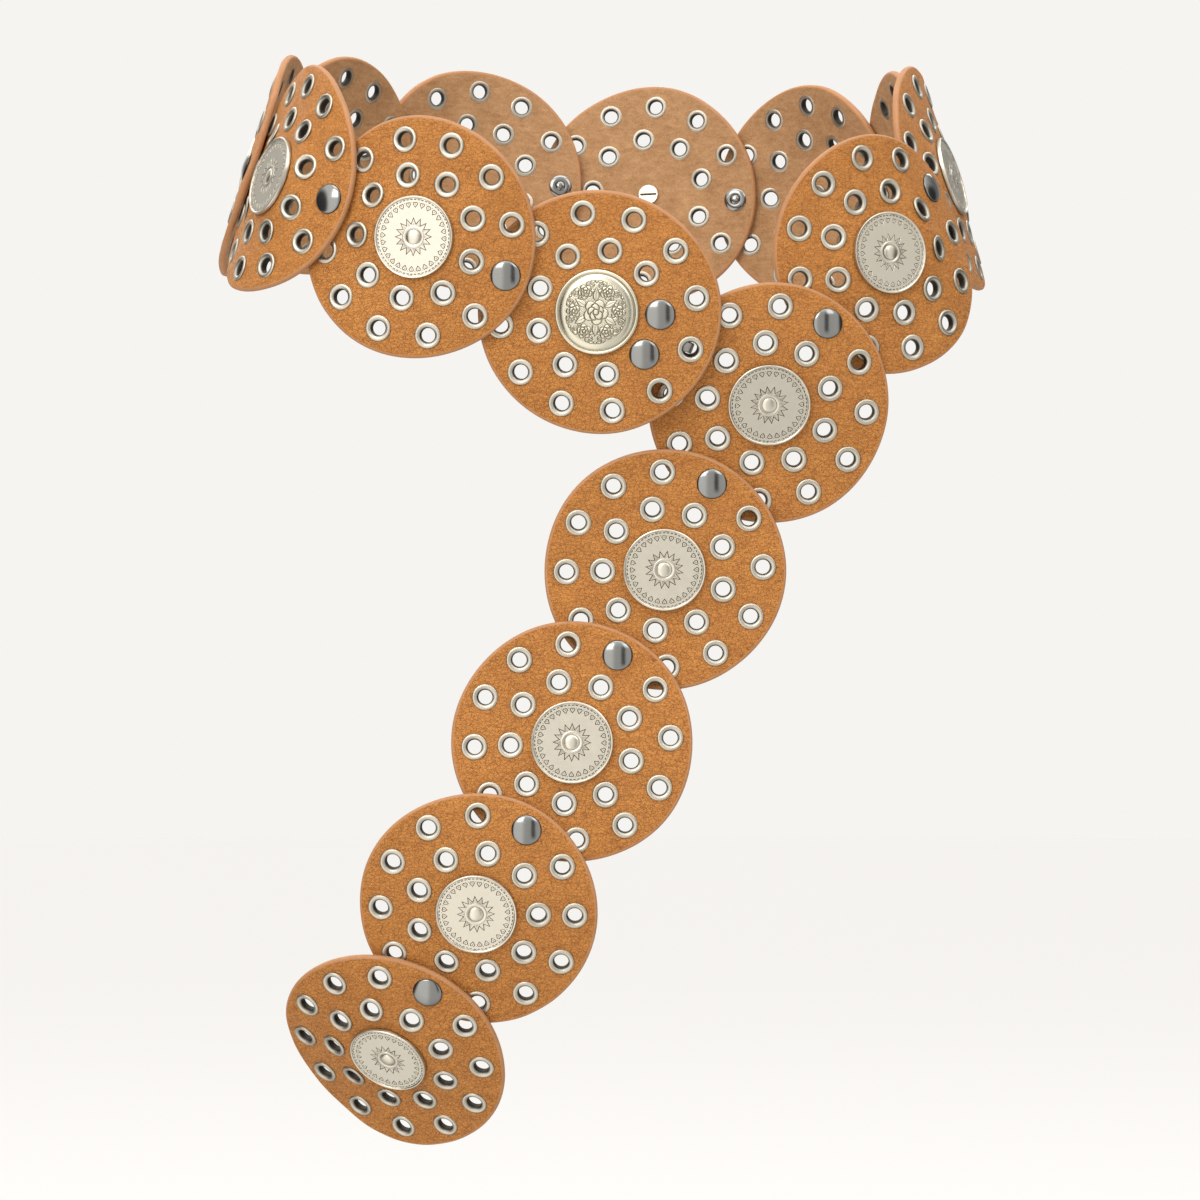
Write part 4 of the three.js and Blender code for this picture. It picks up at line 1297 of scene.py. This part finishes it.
REACH = LAYER_STEP / 2 + HALF_LEATHER
PLATE_AND_GAP = 1.5 * MM
BACK_OF_PLATE = -(HALF_LEATHER + PLATE_AND_GAP)
rivet_pieces = []
for number, point in enumerate(rivet_places, 1):
    rivet_pieces.append(rivet(f"joining_rivet_{number}", rivet_frame(point), REACH, -REACH))
for number, hand in ((1, 1), (2, -1)):
    along, across = polar(INNER_RING, hand * HOOK_RIVET_ANGLE)
    hook_frames = disc_frames("buckle_disc", along, across)
    rivet_pieces.append(rivet(f"hook_rivet_{number}", hook_frames, HALF_LEATHER, BACK_OF_PLATE))
print("Rivets:", len(rivet_pieces), "triangles in one:", triangles_in(rivet_pieces[0]))

# %% [markdown]
# ## The hook
# Behind the buckle disc a steel plate narrows to a tongue, which turns down through an eyelet of the
# hook disc and back under its leather. It is a bent strip: a rounded section carried along stations,
# each with its place along the disc, its height, its lean and its half width.

# %% Stations of the hook's strip
TONGUE_HALF = 2.0 * MM
STRIP_THICKNESS = 1.0 * MM
TURN_RADIUS = 1.6 * MM
RETURN_LENGTH = 6.0 * MM
PLATE_GAP = 0.5 * MM
PLATE_MIDDLE = INNER_RING * math.cos(HOOK_RIVET_ANGLE)
TURN_START = OUTER_RING - TURN_RADIUS / 2
BEHIND_HOOK_DISC = -HALF_LEATHER - PLATE_GAP - STRIP_THICKNESS / 2


def behind_buckle(along):
    return seat_height("buckle_disc", along) - HALF_LEATHER - PLATE_GAP - STRIP_THICKNESS / 2


def hook_stations():
    """Rows of along, height, lean and half width."""
    plate = [(-6, 10.5), (-5.7, 11.7), (-4.8, 12.8), (-3, 13.5), (0, 13.5), (3, 13.5), (4.8, 12.8),
             (5.7, 11.7), (6, 10.5), (7.5, 6.2), (9.5, 3.0), (11.5, 2.1), (13, 2.0)]
    rows = []
    for offset, half in plate:
        along = PLATE_MIDDLE + offset * MM
        rows.append((along, behind_buckle(along), 0.0, half * MM))
    for lean in np.radians([0, 22, 45, 68, 90]):
        along = TURN_START + TURN_RADIUS * math.sin(lean)
        drop = TURN_RADIUS * (1 - math.cos(lean))
        rows.append((along, behind_buckle(TURN_START) - drop, lean, TONGUE_HALF))
    for lean in np.radians([90, 112, 135, 158, 180]):
        along = TURN_START + TURN_RADIUS * math.sin(lean)
        lift = TURN_RADIUS * (1 + math.cos(lean))
        rows.append((along, BEHIND_HOOK_DISC + lift, lean, TONGUE_HALF))
    for share, half in ((0.5, 2.0), (0.85, 1.9), (0.97, 1.4), (1.0, 0.7)):
        rows.append((TURN_START - RETURN_LENGTH * share, BEHIND_HOOK_DISC, math.pi, half * MM))
    return rows


print("Stations of the hook:", len(hook_stations()))

# %% Bend the strip
STRIP_SECTION = [(1, 0.3), (0.96, 0.5), (-0.96, 0.5), (-1, 0.3), (-1, -0.3), (-0.96, -0.5), (0.96, -0.5),
                 (1, -0.3)]


def hook_strip():
    skin = Skin()
    points = []
    stations = hook_stations()
    for along, height, lean, half in stations:
        for side, face in STRIP_SECTION:
            reach = along + face * STRIP_THICKNESS * math.sin(lean)
            above = height + face * STRIP_THICKNESS * math.cos(lean) - seat_height("buckle_disc", reach)
            points.append(disc_points("buckle_disc", reach, side * half, above))
    around = len(STRIP_SECTION)
    faces = turned_faces(len(stations), around)
    last = around * (len(stations) - 1)
    faces += [tuple(range(around)), tuple(last + i for i in reversed(range(around)))]
    skin.add(np.array(points), faces, tarnish=0.1)
    return skin.piece("buckle_hook_steel", [steel], ["buckle_hook"], sharp=40)


hook_piece = hook_strip()
print("Hook triangles:", triangles_in(hook_piece))

# %% [markdown]
# ## Floor and room
# The belt hangs in the air as it does on the hips, over a plain pale floor. Metal shows what is round
# it, so the room matters as much as the lamps. It is drawn as a formula of the direction: a bright panel
# to the left, a softer front with the dark shape of a camera stand, dark strips to either side and a
# pale ceiling. These give the rivets their dark and bright spots. The camera itself sees plain pale paper
# instead of the room, in the tone that the lit floor has where the two meet.

# %% Floor
FLOOR_HEIGHT = -0.62
FLOOR_RADIUS = 9.0
FLOOR_SIDES = 64
FLOOR_GLOW = 0.66
PALE = (0.86, 0.845, 0.82)


def staged(name, points, faces, material):
    mesh = bpy.data.meshes.new(name)
    mesh.from_pydata(points, [], faces)
    mesh.materials.append(material)
    made = bpy.data.objects.new(name, mesh)
    scene.collection.objects.link(made)
    return made


floor_paper = finish("floor_paper", lambda start: {}, Base_Color=(0.25, 0.245, 0.24, 1),
                     Emission_Color=(*PALE, 1), Emission_Strength=FLOOR_GLOW, Roughness=0.9)
rim_points = turned_points([(FLOOR_RADIUS, FLOOR_HEIGHT)], FLOOR_SIDES).tolist()
floor = staged("floor", rim_points, [tuple(range(FLOOR_SIDES))], floor_paper)
floor.visible_glossy = False
print("Floor at", FLOOR_HEIGHT, "m")

# %% Room seen by the metal
ROOM_STRENGTH = 1.68
PAPER_STRENGTH = 1.07
STAND_DARKNESS = 0.85
world = bpy.data.worlds.new("room")
scene.world = world
world.use_nodes = True
room = Wire(world.node_tree)
aim = room.node("ShaderNodeTexCoord", output=0)


def towards(axis):
    """How far a direction points along X, Y or Z, from -1 to 1."""
    return room.node("ShaderNodeSeparateXYZ", inputs={0: aim}, output=axis)


side, depth, height = towards(0), towards(1), towards(2)
sideways = side * 0.5 + 0.5
panels = sideways.ramp((0.0, 0.05), (0.05, 0.07), (0.1, 1.0), (0.33, 1.0), (0.43, 0.62), (0.52, 0.6),
                       (0.72, 0.6), (0.93, 0.66), (0.97, 0.06), (1.0, 0.05))
stand_width = sideways.ramp((0.585, 0.0), (0.63, 1.0), (0.7, 1.0), (0.74, 0.0))
stand_height = (height * 0.5 + 0.5).ramp((0.16, 0.0), (0.28, 1.0), (0.7, 1.0), (0.8, 0.0))
front = (depth * 0.5 + 0.5).ramp((0.25, 1.0), (0.5, 0.8), (0.7, 0.3), (0.86, 0.32), (0.94, 0.8), (1.0, 0.8))
ceiling = height.ramp((0.5, 0.0), (0.9, 0.5))
glow = (panels * front * (1.0 - stand_width * stand_height * STAND_DARKNESS) + ceiling).clipped()
light = glow.blend((0.02, 0.02, 0.022), (1.0, 0.985, 0.95))
lit = room.node("ShaderNodeBackground", inputs={"Color": light, "Strength": ROOM_STRENGTH})
paper = room.node("ShaderNodeBackground", inputs={"Color": (*PALE, 1), "Strength": PAPER_STRENGTH})
camera_ray = room.node("ShaderNodeLightPath")
seen = room.node("ShaderNodeMixShader", inputs={0: camera_ray, 1: lit, 2: paper})
world.node_tree.links.new(seen.socket, world.node_tree.nodes["World Output"].inputs["Surface"])
print("Room nodes:", len(world.node_tree.nodes))

# %% [markdown]
# ## Soft boxes
# Lamps shape the leather: its grain shows where light comes in at a slant. The main soft box stands high
# to the left, a weaker one to the right opens the shadows, one lies overhead, and two light the back.

# %% Soft boxes
AIMED_AT = (0.0, 0.0, -0.1)


def soft_box(name, place, size, power):
    data = bpy.data.lights.new(name, "AREA")
    data.shape = "RECTANGLE"
    data.size, data.size_y = size
    data.energy = power
    lamp = bpy.data.objects.new(name, data)
    lamp.location = place
    lamp.rotation_euler = (Vector(AIMED_AT) - Vector(place)).to_track_quat("-Z", "Y").to_euler()
    scene.collection.objects.link(lamp)


soft_box("left_soft_box", (-1.3, -2.2, 1.5), (1.4, 1.4), 25)
soft_box("right_soft_box", (1.5, -2.0, 1.8), (1.2, 1.2), 10)
soft_box("top_soft_box", (0.0, -0.6, 2.2), (2.2, 1.2), 18)
soft_box("back_left_soft_box", (-1.2, 2.0, 1.9), (1.2, 1.2), 16)
soft_box("back_right_soft_box", (1.2, 2.0, 1.9), (1.2, 1.2), 16)
scene.view_settings.view_transform = "Standard"
